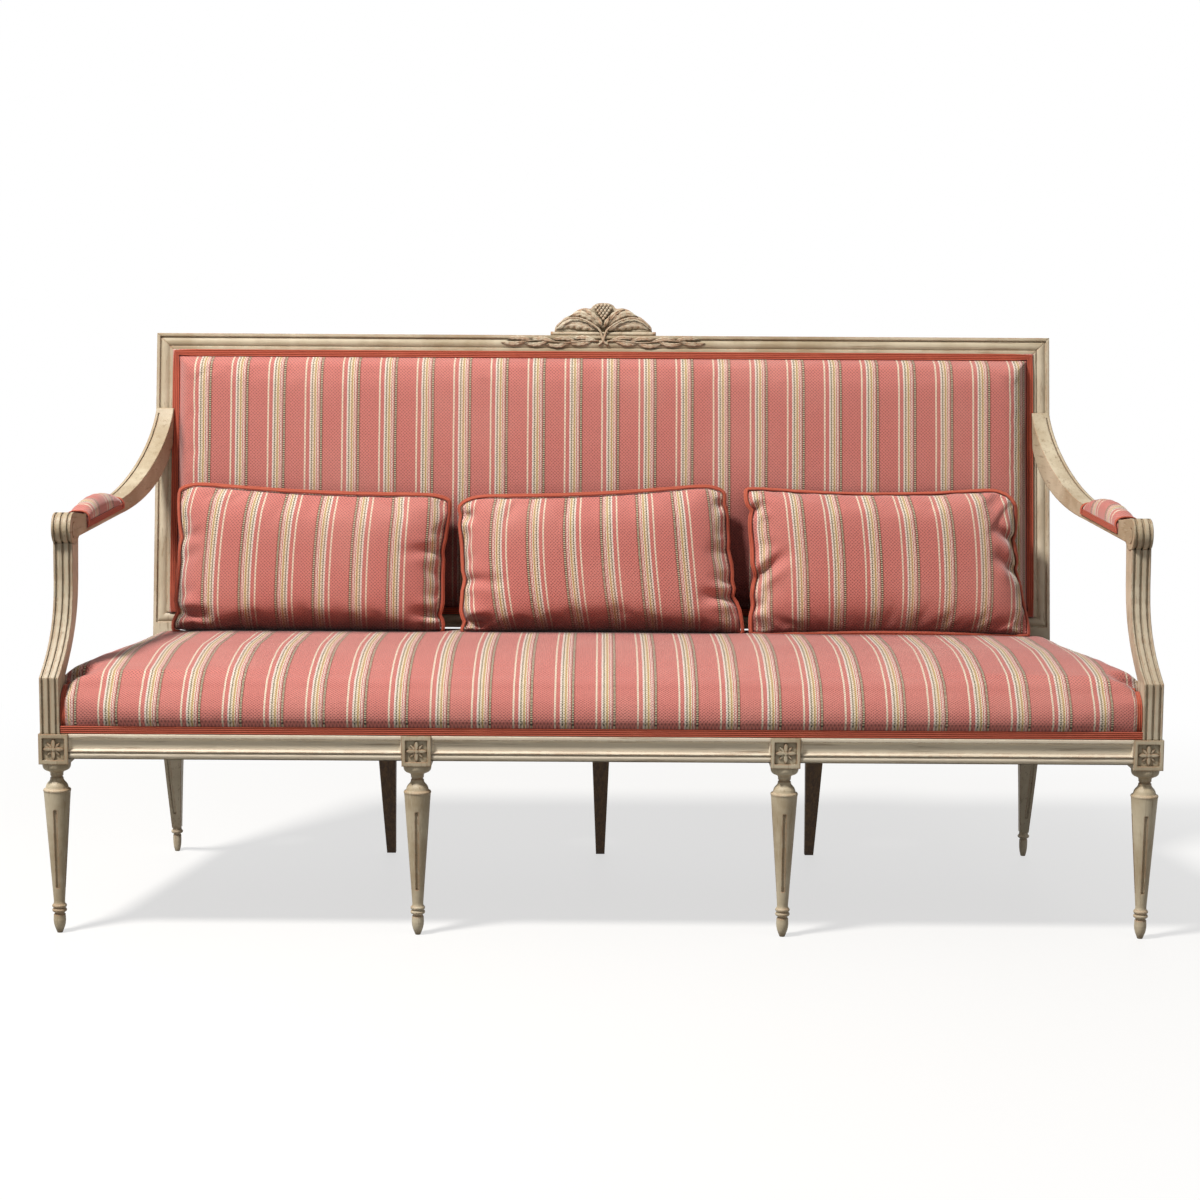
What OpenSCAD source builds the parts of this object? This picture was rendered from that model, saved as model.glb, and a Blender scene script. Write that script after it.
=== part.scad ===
// Settee with a square show-wood back, open arms, nine legs and three loose cushions.
// Front faces -Y, +Z is up, and the origin is under the middle of the whole piece on the floor.

/* [Overall] */
// Width over the front corner blocks
front_w = 1900; // [1700:10:2100]
// Width over the back posts
back_w = 1710; // [1560:10:1850]
// Depth from the front blocks to the back of the top rail
depth = 676; // [620:2:760]
// Height of the back frame, without its carving
back_h = 1015; // [920:5:1100]
// Lean of the back frame from upright, in degrees
rake = 9.35; // [5:0.05:13]

/* [Seat frame] */
// Top of the seat rails
rail_top = 348; // [330:1:380]
// Height of the seat rails
rail_h = 43; // [38:1:50]
// Thickness of the seat rails
rail_t = 26; // [22:1:30]
// How far the rails sit back from the faces of the blocks
rail_setback = 3; // [1:0.5:5]
// Square stock of the front legs
block = 50; // [46:1:56]
// Height of the square block at the top of a front leg
block_h = 52; // [50:1:60]
// Distance of the inner front legs from the middle
inner_leg_x = 312; // [260:2:380]
// Depth of the sunk channel along the rails
channel_d = 5; // [3:0.5:7]
// Height of the sunk channel
channel_h = 23; // [16:1:26]
// Top fillet above the channel
fillet_h = 6; // [4:0.5:9]

/* [Front legs] */
// Radius of the cup under the block
cup_r = 24; // [20:0.5:25]
// Radius of the neck
neck_r = 11; // [9:0.5:14]
// Radius of the shoulder where the taper starts
shoulder_r = 23.5; // [18:0.5:25]
// Height of the shoulder above the floor
shoulder_z = 249; // [230:1:260]
// Radius at the foot of the taper
ankle_r = 9.5; // [8:0.5:12]
// Height of the foot of the taper
ankle_z = 56; // [48:1:70]
// Radius of the ring above the toe
ring_r = 12; // [10:0.5:14]
// Height of the ring's lower edge
ring_z = 36; // [28:1:42]
// Radius of the flat that stands on the floor
toe_r = 4.5; // [3:0.5:7]
// Radius of a flute
flute_r = 2.6; // [1.5:0.1:3.5]

/* [Back legs] */
// Thickness of the back posts at the seat
post_d = 34; // [30:1:40]
// Width of the back frame's posts and top rail
post_w = 46; // [42:1:52]
// How far the middle of an outer back foot lies inside the post's outer face
back_foot_in = 21.5; // [17:0.5:25]
// Thickness of the back frame
frame_t = 28; // [24:1:32]
// How far the back feet stand behind the posts
splay = 107; // [60:1:120]
// Distance between neighbouring back legs
back_leg_gap = 411; // [380:1:430]
// Width of an inner back leg at the top
inner_back_w = 37; // [34:1:46]

/* [Arms] */
// Width of the arms and of their supports
arm_w = 33; // [28:1:36]
// How far an arm's outer face stands inside the end of the seat frame
arm_in = 15; // [5:1:40]
// Radius of the scroll at the front of the arm
scroll_r = 27; // [22:1:30]
// Height of the scroll's centre
scroll_z = 689; // [650:1:720]
// Distance of the scroll's centre behind the front blocks
scroll_y = 89; // [75:1:110]
// Height where the arm's top runs into the back post
arm_join_z = 862; // [800:1:900]
// Length of the arm pads
arm_pad_l = 178; // [140:2:220]

/* [Upholstery] */
// Height of the seat cover at its edge
seat_edge_z = 449; // [430:1:470]
// Extra height of the seat cover in the middle
seat_crown = 4; // [0:1:12]
// Rise of the seat cover towards its rear
seat_rise = 14; // [0:1:16]
// Thickness of the covers
cover_t = 3; // [2:0.5:4]
// Stand of the stuffed back in front of its frame
back_stand = 34; // [24:1:44]
// Extra stand of the stuffed back in the middle
back_crown = 8; // [0:1:14]
// Width of the gimp braid
gimp_w = 13.5; // [12:0.5:20]
// Thickness of the gimp braid
gimp_t = 2.4; // [1.5:0.1:3]

/* [Cushions] */
// Width of a loose cushion
cushion_w = 515; // [440:5:540]
// Height of a loose cushion
cushion_h = 260; // [240:2:300]
// Thickness of a loose cushion
cushion_t = 90; // [70:2:110]
// Lean of the cushions from upright, in degrees
cushion_lean = 10; // [8:0.5:13]
// Distance between the middles of neighbouring cushions
cushion_step = 536; // [520:2:545]
// Radius of the cord sewn round a cushion
cord_r = 4; // [3:0.5:5]

/* [Carving] */
// Half the width of the shell on the top rail
shell_w = 94; // [80:1:110]
// Height of the shell above the top rail
shell_h = 60; // [45:1:64]
// Thickness of the shell
shell_t = 15; // [10:1:17]
// Half the length of the sprigs along the top rail
sprig_l = 198; // [160:2:240]

/* [Hidden] */
$fn = 48;

// Clearances
joint_gap = 0.15;
soft_gap = 0.3;

// Colours
paint = [0.72, 0.68, 0.55];
bare_wood = [0.42, 0.32, 0.22];
cloth = [0.80, 0.42, 0.41];
braid = [0.78, 0.30, 0.20];
linen = [0.72, 0.65, 0.50];
jute = [0.62, 0.50, 0.32];
hair = [0.30, 0.22, 0.16];

// Places worked out from the driving sizes
front_y = -depth / 2;
rail_bottom = rail_top - rail_h;
block_bottom = rail_top - block_h;
block_back = front_y + block;
rail_front = front_y + rail_setback;
rail_back = rail_front + rail_t;
slope_h = (back_h - rail_top) / cos(rake);
back_y = depth / 2 - frame_t * cos(rake) - slope_h * sin(rake);
corner_x = front_w / 2 - block / 2;
arm_x = front_w / 2 - arm_in;
post_in = back_w / 2 - post_w;
side_front_x = front_w / 2 - rail_setback;
side_angle = atan((side_front_x - back_w / 2) / (back_y - block_back));
tenon_l = 18;
tenon_t = 10;
tenon_h = rail_h - 13;
tenon_z = rail_bottom + (rail_h - tenon_h) / 2;

// Half the width over the side rails at depth y
function side_x(y) = side_front_x - (y - block_back) * tan(side_angle);

// Straight blend from a to b
function mix(a, b, t) = a + (b - a) * t;

// Points of a cubic curve through p[0] and p[3], steered by p[1] and p[2]
function curve(p, n) = [for (i = [0 : n]) let (t = i / n)
    pow(1 - t, 3) * p[0] + 3 * t * pow(1 - t, 2) * p[1] + 3 * t * t * (1 - t) * p[2] + pow(t, 3) * p[3]];

// Points of an arc from angle a0 to a1
function arc(center, r, a0, a1, n) = [for (i = [0 : n]) let (a = mix(a0, a1, i / n))
    center + r * [cos(a), sin(a)]];

// A list read from its end
function backwards(v) = [for (i = [len(v) - 1 : -1 : 0]) v[i]];

// An outline in Y and Z, made solid from x0 to x1
module along_x(x0, x1) { translate([x0, 0, 0]) rotate([90, 0, 90]) linear_extrude(x1 - x0) children(); }

// An outline in X and Z, made solid from y0 to y1
module along_y(y0, y1) { translate([0, y1, 0]) rotate([90, 0, 0]) linear_extrude(y1 - y0) children(); }

// An outline in X and Y, made solid from z0 to z1
module along_z(z0, z1) { translate([0, 0, z0]) linear_extrude(z1 - z0) children(); }

// A box given by its two corners
module box(a, b) { translate(a) cube(b - a); }

// Pieces are written for the right-hand side, and side -1 mirrors them to the left
module on_side(side) {
    if (side < 0) mirror([1, 0, 0]) children();
    else children();
}

// The leaning back frame: x across, y to the rear, z up the slope from the rails
module on_back() { translate([0, back_y, rail_top]) rotate([-rake, 0, 0]) children(); }

// Height up the slope of the back frame for a height above the floor
function slope(z) = (z - rail_top) / cos(rake);

// Front legs

cup_h = 13;
cove_h = 6;
neck_z = block_bottom - cup_h - cove_h;
ogee_top = neck_z - 7;

// Turned outline of a front leg, from the floor up to the block
function leg_outline() = concat(
    [[0, 0], [toe_r, 0]],
    curve([[toe_r, 0], [toe_r + 3, 8], [ring_r - 2, 12], [ring_r - 1.5, 22]], 5),
    [[ring_r - 2, ring_z - 4], [ring_r - 3.5, ring_z - 3], [ring_r - 3.5, ring_z - 1]],
    arc([ring_r - 3, ring_z + 3.5], 3.5, -70, 70, 4),
    arc([ring_r - 3, ring_z + 11], 3.5, -70, 70, 4),
    [[ankle_r, ankle_z - 3], [ankle_r, ankle_z], [shoulder_r - 1, shoulder_z - 5]],
    arc([shoulder_r - 3, shoulder_z - 1], 3, -40, 90, 4),
    curve([[shoulder_r - 4, shoulder_z + 3], [shoulder_r - 6, ogee_top - 6],
        [neck_r, ogee_top - 9], [neck_r, ogee_top]], 6),
    [[neck_r - 1.5, ogee_top + 1], [neck_r - 1.5, ogee_top + 2.5], [neck_r, ogee_top + 3.5], [neck_r, neck_z]],
    curve([[neck_r, neck_z], [neck_r, neck_z + cove_h * 0.7],
        [cup_r - 9, neck_z + cove_h * 0.6], [cup_r - 6, neck_z + cove_h]], 4),
    curve([[cup_r - 5, neck_z + cove_h], [cup_r - 1, neck_z + cove_h + 2],
        [cup_r, neck_z + cove_h + 6], [cup_r, block_bottom - 2]], 5),
    [[cup_r, block_bottom], [0, block_bottom]]);

flute_low = 80;
flute_high = 216;
taper_angle = atan((shoulder_r - 1 - ankle_r) / (shoulder_z - 5 - ankle_z));

// Radius of the tapered leg at height z
function taper_r(z) = ankle_r + (z - ankle_z) * tan(taper_angle);

// One stopped flute, cut into the side of the taper that faces -Y
module flute() {
    translate([0, -taper_r(flute_low), flute_low]) rotate([taper_angle, 0, 0]) {
        linear_extrude((flute_high - flute_low) / cos(taper_angle))
            polygon(concat([[flute_r, -3], [-flute_r, -3]], arc([0, 0], flute_r, 180, 0, 8)));
    }
}

rosette_w = 37;
rosette_d = 4;
petal_r = 12;
petal_off = 8.6;
leaf_r = 14;
leaf_off = 12;
boss_r = 3.4;

// A pointed leaf shape, long along Y, with one tip near the middle of the flower
module petal_outline(r, off) {
    translate([0, sqrt(r * r - off * off) + 1]) intersection() {
        translate([off, 0]) circle(r);
        translate([-off, 0]) circle(r);
    }
}

// Four-petalled flower, standing on the floor of its square recess and facing +Z
module flower() {
    for (a = [0 : 90 : 270]) rotate([0, 0, a]) {
        linear_extrude(rosette_d - 1) petal_outline(petal_r, petal_off);
        rotate([0, 0, 45]) linear_extrude(rosette_d - 2.2) petal_outline(leaf_r, leaf_off);
    }
    cylinder(r = boss_r, h = rosette_d - 0.6);
}

// Square recess and flower on a block face towards -Y, with its middle at the origin
module rosette_cut() {
    difference() {
        box([-rosette_w / 2, -1, -rosette_w / 2], [rosette_w / 2, rosette_d, rosette_w / 2]);
        translate([0, rosette_d + 0.01, 0]) rotate([90, 0, 0]) flower();
    }
}

// A mortise for a rail that runs along X, open on the block's side at x
module rail_mortise(x, dir) {
    box([min(x - dir * 0.5, x + dir * (tenon_l + 0.5)), rail_front + 8 - joint_gap, tenon_z - joint_gap],
        [max(x - dir * 0.5, x + dir * (tenon_l + 0.5)), rail_front + 8 + tenon_t + joint_gap, tenon_z + tenon_h + joint_gap]);
}

side_tenon_x = side_x(block_back) - rail_t / 2;
dowel_r = 5;
dowel_l = 22;
support_x = arm_x + 12 - arm_w / 2;

// A turned and carved front leg with its square block, at x on the right-hand half
module front_leg(x, corner) {
    color(paint) difference() {
        union() {
            translate([x, front_y + block / 2, 0]) rotate_extrude() polygon(leg_outline());
            box([x - block / 2, front_y, block_bottom], [x + block / 2, block_back, rail_top]);
        }
        for (a = [0 : 90 : 270]) translate([x, front_y + block / 2, 0]) rotate([0, 0, a]) flute();
        translate([x, front_y, rail_top - block_h / 2]) rosette_cut();
        if (corner) translate([x + block / 2, front_y + block / 2, rail_top - block_h / 2])
            rotate([0, 0, 90]) rosette_cut();
        rail_mortise(x - block / 2, 1);
        if (!corner) rail_mortise(x + block / 2, -1);
        if (corner) {
            box([side_tenon_x - tenon_t / 2 - joint_gap, block_back - tenon_l + 6.5, tenon_z - joint_gap],
                [side_tenon_x + tenon_t / 2 + joint_gap, block_back + 0.5, tenon_z + tenon_h + joint_gap]);
            translate([support_x, front_y + block / 2, rail_top - dowel_l - 0.5])
                cylinder(r = dowel_r + joint_gap, h = dowel_l + 1);
        }
    }
}

module front_leg_left() { on_side(-1) front_leg(corner_x, true); }
module front_leg_inner_left() { on_side(-1) front_leg(inner_leg_x, false); }
module front_leg_inner_right() { on_side(1) front_leg(inner_leg_x, false); }
module front_leg_right() { on_side(1) front_leg(corner_x, true); }

// Seat rails

channel_top = rail_top - fillet_h;
channel_low = channel_top - channel_h;

// Section of a show rail in depth and height, with its face at depth 0
module rail_section() {
    bead_h = channel_low - rail_bottom - 2;
    polygon(concat(
        [[rail_t, rail_bottom], [rail_t, rail_top]],
        arc([2, rail_top - 2], 2, 90, 180, 3),
        [[0, channel_low - 1.5], [1.5, channel_low - 1.5]],
        backwards(arc([bead_h / 2 + 0.4, rail_bottom + bead_h / 2], bead_h / 2, 240, 120, 6)),
        [[1.5, rail_bottom]]));
}

// Section of the channel, with a cove along its upper edge
module channel_section() {
    polygon(concat(
        [[-1, channel_low], [2, channel_low], [channel_d, channel_low + 3]],
        arc([0, channel_top - channel_d - 1], channel_d, 0, 90, 5),
        [[0, channel_top - 0.5], [-1, channel_top - 0.5]]));
}

// Plan of a channel whose two ends are scooped, from x0 to x1
module channel_plan(x0, x1) {
    polygon(concat(
        [[x0, -1]],
        arc([x0 + channel_d + 1, 0], channel_d + 1, 180, 90, 6),
        arc([x1 - channel_d - 1, 0], channel_d + 1, 90, 0, 6),
        [[x1, -1]]));
}

// A front rail with tenons, from x0 to x1 between block faces
module front_rail(x0, x1) {
    color(paint) {
        difference() {
            translate([0, rail_front, 0]) along_x(x0, x1) rail_section();
            intersection() {
                translate([0, rail_front, 0]) along_x(x0 - 1, x1 + 1) channel_section();
                translate([0, rail_front, 0]) along_z(channel_low - 1, channel_top + 1) channel_plan(x0 + 1.5, x1 - 1.5);
            }
        }
        for (x = [x0 - tenon_l, x1])
            box([x, rail_front + 8, tenon_z], [x + tenon_l, rail_front + 8 + tenon_t, tenon_z + tenon_h]);
    }
}

module front_rail_left() { front_rail(-corner_x + block / 2, -inner_leg_x - block / 2); }
module front_rail_center() { front_rail(-inner_leg_x + block / 2, inner_leg_x - block / 2); }
module front_rail_right() { front_rail(inner_leg_x + block / 2, corner_x - block / 2); }

side_len = (back_y - block_back) / cos(side_angle);
post_tenon_x = side_x(back_y) - rail_t / 2;

// A side rail, moulded on its outer face and cut square to the block and the post
module side_rail(side) {
    color(paint) on_side(side) {
        intersection() {
            translate([side_front_x, block_back, 0]) rotate([0, 0, 90 + side_angle]) difference() {
                along_x(-20, side_len + 20) rail_section();
                intersection() {
                    along_x(-1, side_len + 1) channel_section();
                    along_z(channel_low - 1, channel_top + 1) channel_plan(7, side_len - 2);
                }
            }
            box([0, block_back, 0], [front_w, back_y, rail_top + 10]);
        }
        box([side_tenon_x - tenon_t / 2, block_back - tenon_l + 7, tenon_z],
            [side_tenon_x + tenon_t / 2, block_back + 1, tenon_z + tenon_h]);
        box([post_tenon_x - tenon_t / 2, back_y - 1, tenon_z],
            [post_tenon_x + tenon_t / 2, back_y + tenon_l, tenon_z + tenon_h]);
    }
}

module side_rail_left() { side_rail(-1); }
module side_rail_right() { side_rail(1); }

back_rail_t = rail_t;
back_tenon_y = back_y + 9;

// Plain rail across the back of the seat, mortised underneath for the inner back legs
module back_seat_rail() {
    color(bare_wood) difference() {
        union() {
            box([-post_in, back_y, rail_bottom], [post_in, back_y + back_rail_t, rail_top]);
            for (s = [-1, 1]) on_side(s)
                box([post_in - 1, back_tenon_y, tenon_z], [post_in + tenon_l, back_tenon_y + tenon_t, tenon_z + tenon_h]);
        }
        for (i = [-1 : 1]) box(
            [i * back_leg_gap - leg_tenon_w / 2 - joint_gap, back_tenon_y - joint_gap, rail_bottom - 1],
            [i * back_leg_gap + leg_tenon_w / 2 + joint_gap, back_tenon_y + tenon_t + joint_gap, rail_bottom + leg_tenon_h + 0.5]);
    }
}

// Back posts and back legs

leg_tenon_w = 26;
leg_tenon_h = 22;
toe_top = 48;
toe_d = 16;
leg_steps = 8;

// Middle of a back leg in depth at height z, where its splay is complete at height low
function leg_y(z, low) = back_y + post_d / 2 + splay * pow(max((block_bottom - z) / (block_bottom - low), 0), 1.2);

// Thickness of a back leg at height z
function leg_d(z) = mix(toe_d, post_d, z / block_bottom);

// Front or rear edge of a splayed leg from the seat down to height low
function leg_edge(side, low) = [for (i = [0 : leg_steps]) let (z = mix(block_bottom, low, i / leg_steps))
    [leg_y(z, low) + side * leg_d(z) / 2, z]];

// Side outline of a post: splayed leg, upright foot of the post, and the leaning upper part
module post_side() {
    polygon(concat(
        leg_edge(1, toe_top),
        backwards(leg_edge(-1, toe_top)),
        [[back_y, rail_top], [back_y + slope_h * sin(rake), back_h],
         [back_y + slope_h * sin(rake) + frame_t * cos(rake), back_h - frame_t * sin(rake)],
         [back_y + post_d, rail_top + 20]]));
}

foot_w = 17;
post_leg_x = back_w / 2 - back_foot_in;
post_waist_z = 0.66 * block_bottom;

// Front outline of a post: full width at the rails, tapered below them
module post_front() {
    polygon(concat([[post_leg_x - foot_w / 2, toe_top - 1], [post_leg_x + foot_w / 2, toe_top - 1]],
        curve([[post_leg_x + foot_w / 2, post_waist_z], [post_leg_x + foot_w / 2, post_waist_z + 50],
            [back_w / 2, post_waist_z + 40], [back_w / 2, rail_bottom]], 6),
        [[back_w / 2, back_h + 20], [post_in, back_h + 20], [post_in, post_waist_z]]));
}

// Ring and toe turned at the foot of a post
module back_toe() {
    translate([post_leg_x, leg_y(toe_top, toe_top), 0]) rotate_extrude() polygon(concat(
        [[0, 0], [toe_r, 0]],
        curve([[toe_r, 0], [toe_r + 2.5, 8], [7.6, 12], [8, 22]], 5),
        [[8, ring_z - 4], [7, ring_z - 3], [7, ring_z - 1]],
        arc([8, ring_z + 3.5], 3.5, -70, 70, 4),
        [[8.6, toe_top - 2], [8.2, toe_top + 3], [0, toe_top + 3]]));
}

outer_fillet = 6;
groove_w = 2;
torus_w = 16;
mould_d = 3;
torus_u = outer_fillet + groove_w;
torus_r = (torus_w * torus_w / 4 + mould_d * mould_d) / (2 * mould_d);
torus_a = asin(torus_w / 2 / torus_r);
low_rail_z = 462;
low_rail_h = 39;
low_s = slope(low_rail_z);

// What is cut away for a frame member's moulding: distance in from its outer edge, and depth
module mould_section() {
    far = torus_u + torus_w;
    polygon([[outer_fillet, -1], [torus_u + 0.01, -1], [torus_u + 0.01, mould_d],
        [outer_fillet + groove_w / 2, mould_d], [outer_fillet, mould_d * 0.6]]);
    polygon(concat([[torus_u, -1]],
        arc([torus_u + torus_w / 2, torus_r], torus_r, 270 - torus_a, 270 + torus_a, 8), [[far, -1]]));
    polygon([[far - 0.01, -1], [post_w + 1, -1], [post_w + 1, 1], [far + 1.5, 1], [far - 0.01, mould_d]]);
}

// The moulding cutter along the right-hand post
module upright_mould(s0, s1) {
    translate([back_w / 2, 0, s0]) linear_extrude(s1 - s0) mirror([1, 0]) mould_section();
}

// The moulding cutter along a level member whose outer edge is at slope height s
module level_mould(s, lower) {
    along_x(-back_w / 2 - 1, back_w / 2 + 1) translate([0, s]) {
        if (lower) mirror([1, -1]) mould_section();
        else mirror([0, 1]) mirror([1, -1]) mould_section();
    }
}

// Everything on the rail's side of the mitre at the upper right corner of the frame
module mitre_top() {
    along_y(-5, frame_t + 5) polygon([[back_w / 2 + 40, slope_h + 40], [post_in - 40, slope_h - post_w - 40],
        [post_in - 40, slope_h + 40]]);
}

// Everything on the rail's side of the mitre in the moulding at the lower right corner
module mitre_low() {
    along_y(-5, rebate_d) polygon([[back_w / 2 + 5, low_s - 5], [post_in - 5, low_s - 5], [post_in - 5, low_s + post_w + 5]]);
}

rebate_w = 8;
rebate_d = 7;
frame_in_low = low_s + low_rail_h;
frame_in_high = slope_h - post_w;
frame_tenon_y = 12;
mitre_tenon_x = back_w / 2 - 12;

// A tenon of the back frame from x0 to x1 and slope height s0 to s1, grown by gap all round
module frame_tenon(x0, x1, s0, s1, gap) {
    box([x0 - gap, frame_tenon_y - gap, s0 - gap], [x1 + gap, frame_tenon_y + tenon_t + gap, s1 + gap]);
}

// The whole right-hand back post with its splayed leg
module back_post(side) {
    color(paint) on_side(side) difference() {
        union() {
            intersection() {
                along_x(post_in, back_w / 2) post_side();
                along_y(back_y - 20, depth) post_front();
            }
            back_toe();
        }
        on_back() {
            mitre_top();
            difference() {
                upright_mould(low_s, slope_h + 5);
                mitre_low();
            }
            intersection() {
                level_mould(low_s, true);
                mitre_low();
            }
            box([post_in - 1, -1, frame_in_low - rebate_w], [post_in + rebate_w, rebate_d, frame_in_high + rebate_w]);
            frame_tenon(post_in - 1, post_in + tenon_l, low_s + 6, frame_in_low - 8, joint_gap);
            frame_tenon(post_in - 1, mitre_tenon_x, frame_in_high + 9, slope_h - 12, joint_gap);
            translate([arm_dowel_x, -1, slope(arm_dowel_z)]) rotate([-90, 0, 0])
                cylinder(r = arm_dowel_r + joint_gap, h = arm_dowel_l + 1.5);
        }
        box([post_tenon_x - tenon_t / 2 - joint_gap, back_y - 1, tenon_z - joint_gap],
            [post_tenon_x + tenon_t / 2 + joint_gap, back_y + tenon_l + 0.5, tenon_z + tenon_h + joint_gap]);
        box([post_in - 1, back_tenon_y - joint_gap, tenon_z - joint_gap],
            [post_in + tenon_l + 0.5, back_tenon_y + tenon_t + joint_gap, tenon_z + tenon_h + joint_gap]);
        intersection() {
            box([post_leg_x - flute_r, 0, flute_low], [post_leg_x + flute_r, depth, block_bottom - 16]);
            along_x(post_in, back_w / 2) polygon(concat(
                [for (p = leg_edge(-1, toe_top)) p - [3, 0]], backwards([for (p = leg_edge(-1, toe_top)) p + [2, 0]])));
        }
    }
}

module back_post_left() { back_post(-1); }
module back_post_right() { back_post(1); }

// A plain inner back leg, tapered, splayed and tenoned into the back rail
module inner_back_leg(x) {
    color(bare_wood) {
        intersection() {
            along_x(x - inner_back_w / 2, x + inner_back_w / 2) polygon(concat(
                [[back_y + post_d, rail_bottom]], leg_edge(1, 0),
                backwards(leg_edge(-1, 0)), [[back_y, rail_bottom]]));
            along_y(back_y - 20, depth) polygon([[x - foot_w / 2, 0], [x + foot_w / 2, 0],
                [x + inner_back_w / 2, block_bottom - 30], [x + inner_back_w / 2, rail_bottom],
                [x - inner_back_w / 2, rail_bottom], [x - inner_back_w / 2, block_bottom - 30]]);
        }
        box([x - leg_tenon_w / 2, back_tenon_y, rail_bottom - 1],
            [x + leg_tenon_w / 2, back_tenon_y + tenon_t, rail_bottom + leg_tenon_h]);
    }
}

module back_leg_left() { inner_back_leg(-back_leg_gap); }
module back_leg_center() { inner_back_leg(0); }
module back_leg_right() { inner_back_leg(back_leg_gap); }

// Back frame rails

upright_x = back_leg_gap * 0.66;
upright_w = 44;
upright_front = rebate_d + 3;
upright_rear = frame_t - 6;
stub_w = 28;
stub_t = 6;
stub_l = 10;

// Stub tenons at both ends of the hidden uprights, grown by gap all round
module upright_stubs(gap) {
    for (s = [-1, 1])
        box([s * upright_x - stub_w / 2 - gap, upright_front + 3 - gap, frame_in_low - stub_l - gap],
            [s * upright_x + stub_w / 2 + gap, upright_front + 3 + stub_t + gap, frame_in_high + stub_l + gap]);
}

// The lower rail of the back, tenoned between the posts
module back_bottom_rail() {
    color(paint) on_back() {
        difference() {
            box([-post_in, 0, low_s], [post_in, frame_t - 2, frame_in_low]);
            level_mould(low_s, true);
            box([-post_in - 1, -1, frame_in_low - rebate_w], [post_in + 1, rebate_d, frame_in_low + 1]);
            upright_stubs(joint_gap);
        }
        for (s = [-1, 1]) on_side(s) frame_tenon(post_in - 1, post_in + tenon_l - 0.5, low_s + 6, frame_in_low - 8, 0);
    }
}

// The top rail, mitred to the posts at both ends with a hidden tenon in each mitre
module back_top_rail() {
    color(paint) on_back() {
        difference() {
            along_y(0, frame_t) polygon([[-back_w / 2, slope_h], [back_w / 2, slope_h],
                [post_in, frame_in_high], [-post_in, frame_in_high]]);
            level_mould(slope_h, false);
            box([-post_in - rebate_w, -1, frame_in_high - 1], [post_in + rebate_w, rebate_d, frame_in_high + rebate_w]);
            upright_stubs(joint_gap);
        }
        for (s = [-1, 1]) on_side(s) frame_tenon(post_in - 1, mitre_tenon_x - 0.5, frame_in_high + 9, slope_h - 12, 0);
    }
}

// Two hidden uprights that stiffen the back frame behind its webbing
module back_uprights() {
    color(bare_wood) on_back() {
        for (s = [-1, 1])
            box([s * upright_x - upright_w / 2, upright_front, frame_in_low],
                [s * upright_x + upright_w / 2, upright_rear, frame_in_high]);
        upright_stubs(-0.01);
    }
}

// Carving on the top rail

bar_h = 8;
bar_w = shell_w + 8;
fan_h = shell_h - bar_h + 4;
berry_r = 3.4;
berry_step = 2.15 * berry_r;

// Outline of the low outer leaf of the shell, on the right
module low_leaf() {
    polygon(concat([[-1, 0], [-1, 4]], curve([[2, 4], [shell_w * 0.25, fan_h * 0.62],
        [shell_w * 0.86, fan_h * 0.72], [shell_w, 0]], 10)));
}

// Outline of the upright inner leaf, on the right
module high_leaf() {
    polygon(concat(
        curve([[0, 4], [shell_w * 0.1, fan_h * 0.9], [shell_w * 0.5, fan_h], [shell_w * 0.68, fan_h * 0.5]], 8),
        curve([[shell_w * 0.68, fan_h * 0.5], [shell_w * 0.5, fan_h * 0.45], [shell_w * 0.3, fan_h * 0.3], [0, 4]], 5)));
}

// Midrib that arches over the low leaf
module midrib() {
    rib = curve([[3, 2], [shell_w * 0.22, fan_h * 0.55], [shell_w * 0.66, fan_h * 0.68], [shell_w * 0.9, fan_h * 0.24]], 8);
    polygon(concat(rib, backwards([for (i = [0 : 8]) rib[i] + [0, -3.5 + i * 0.3]])));
}

// Carved shell of leaves round a berry cluster, standing on a small bar over the top rail
module crest_shell() {
    back = 17;
    color(paint) on_back() {
        box([-bar_w, 0, slope_h], [bar_w, back, slope_h + bar_h]);
        translate([0, 0, slope_h + bar_h - 0.5]) {
            for (s = [-1, 1]) on_side(s) {
                along_y(back - shell_t * 0.6, back) low_leaf();
                along_y(back - shell_t * 0.82, back - 1) high_leaf();
                along_y(back - shell_t * 0.88, back - 1) midrib();
            }
            intersection() {
                along_y(back - shell_t * 0.9, back - 0.5) translate([0, fan_h * 0.5]) circle(fan_h * 0.5);
                box([-shell_w, 0, 0], [shell_w, back, fan_h]);
            }
            for (row = [0 : 3]) for (k = [0 : 3 - abs(row - 2)])
                translate([(k - (3 - abs(row - 2)) / 2) * berry_step, back - shell_t * 0.9 + 1, fan_h * 0.5 + row * berry_step * 0.87])
                    rotate([90, 0, 0]) cylinder(h = berry_r + 0.6, r1 = berry_r, r2 = berry_r * 0.5);
        }
    }
}

sprig_s = slope_h - 10;
sprig_t = 4;
leaf_count = 5;
leaf_len = 33;

// Height of the sprig's stem at distance x from the middle
function stem_s(x) = sprig_s + 2.6 * sin(x * 360 / (sprig_l * 0.5));

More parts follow.
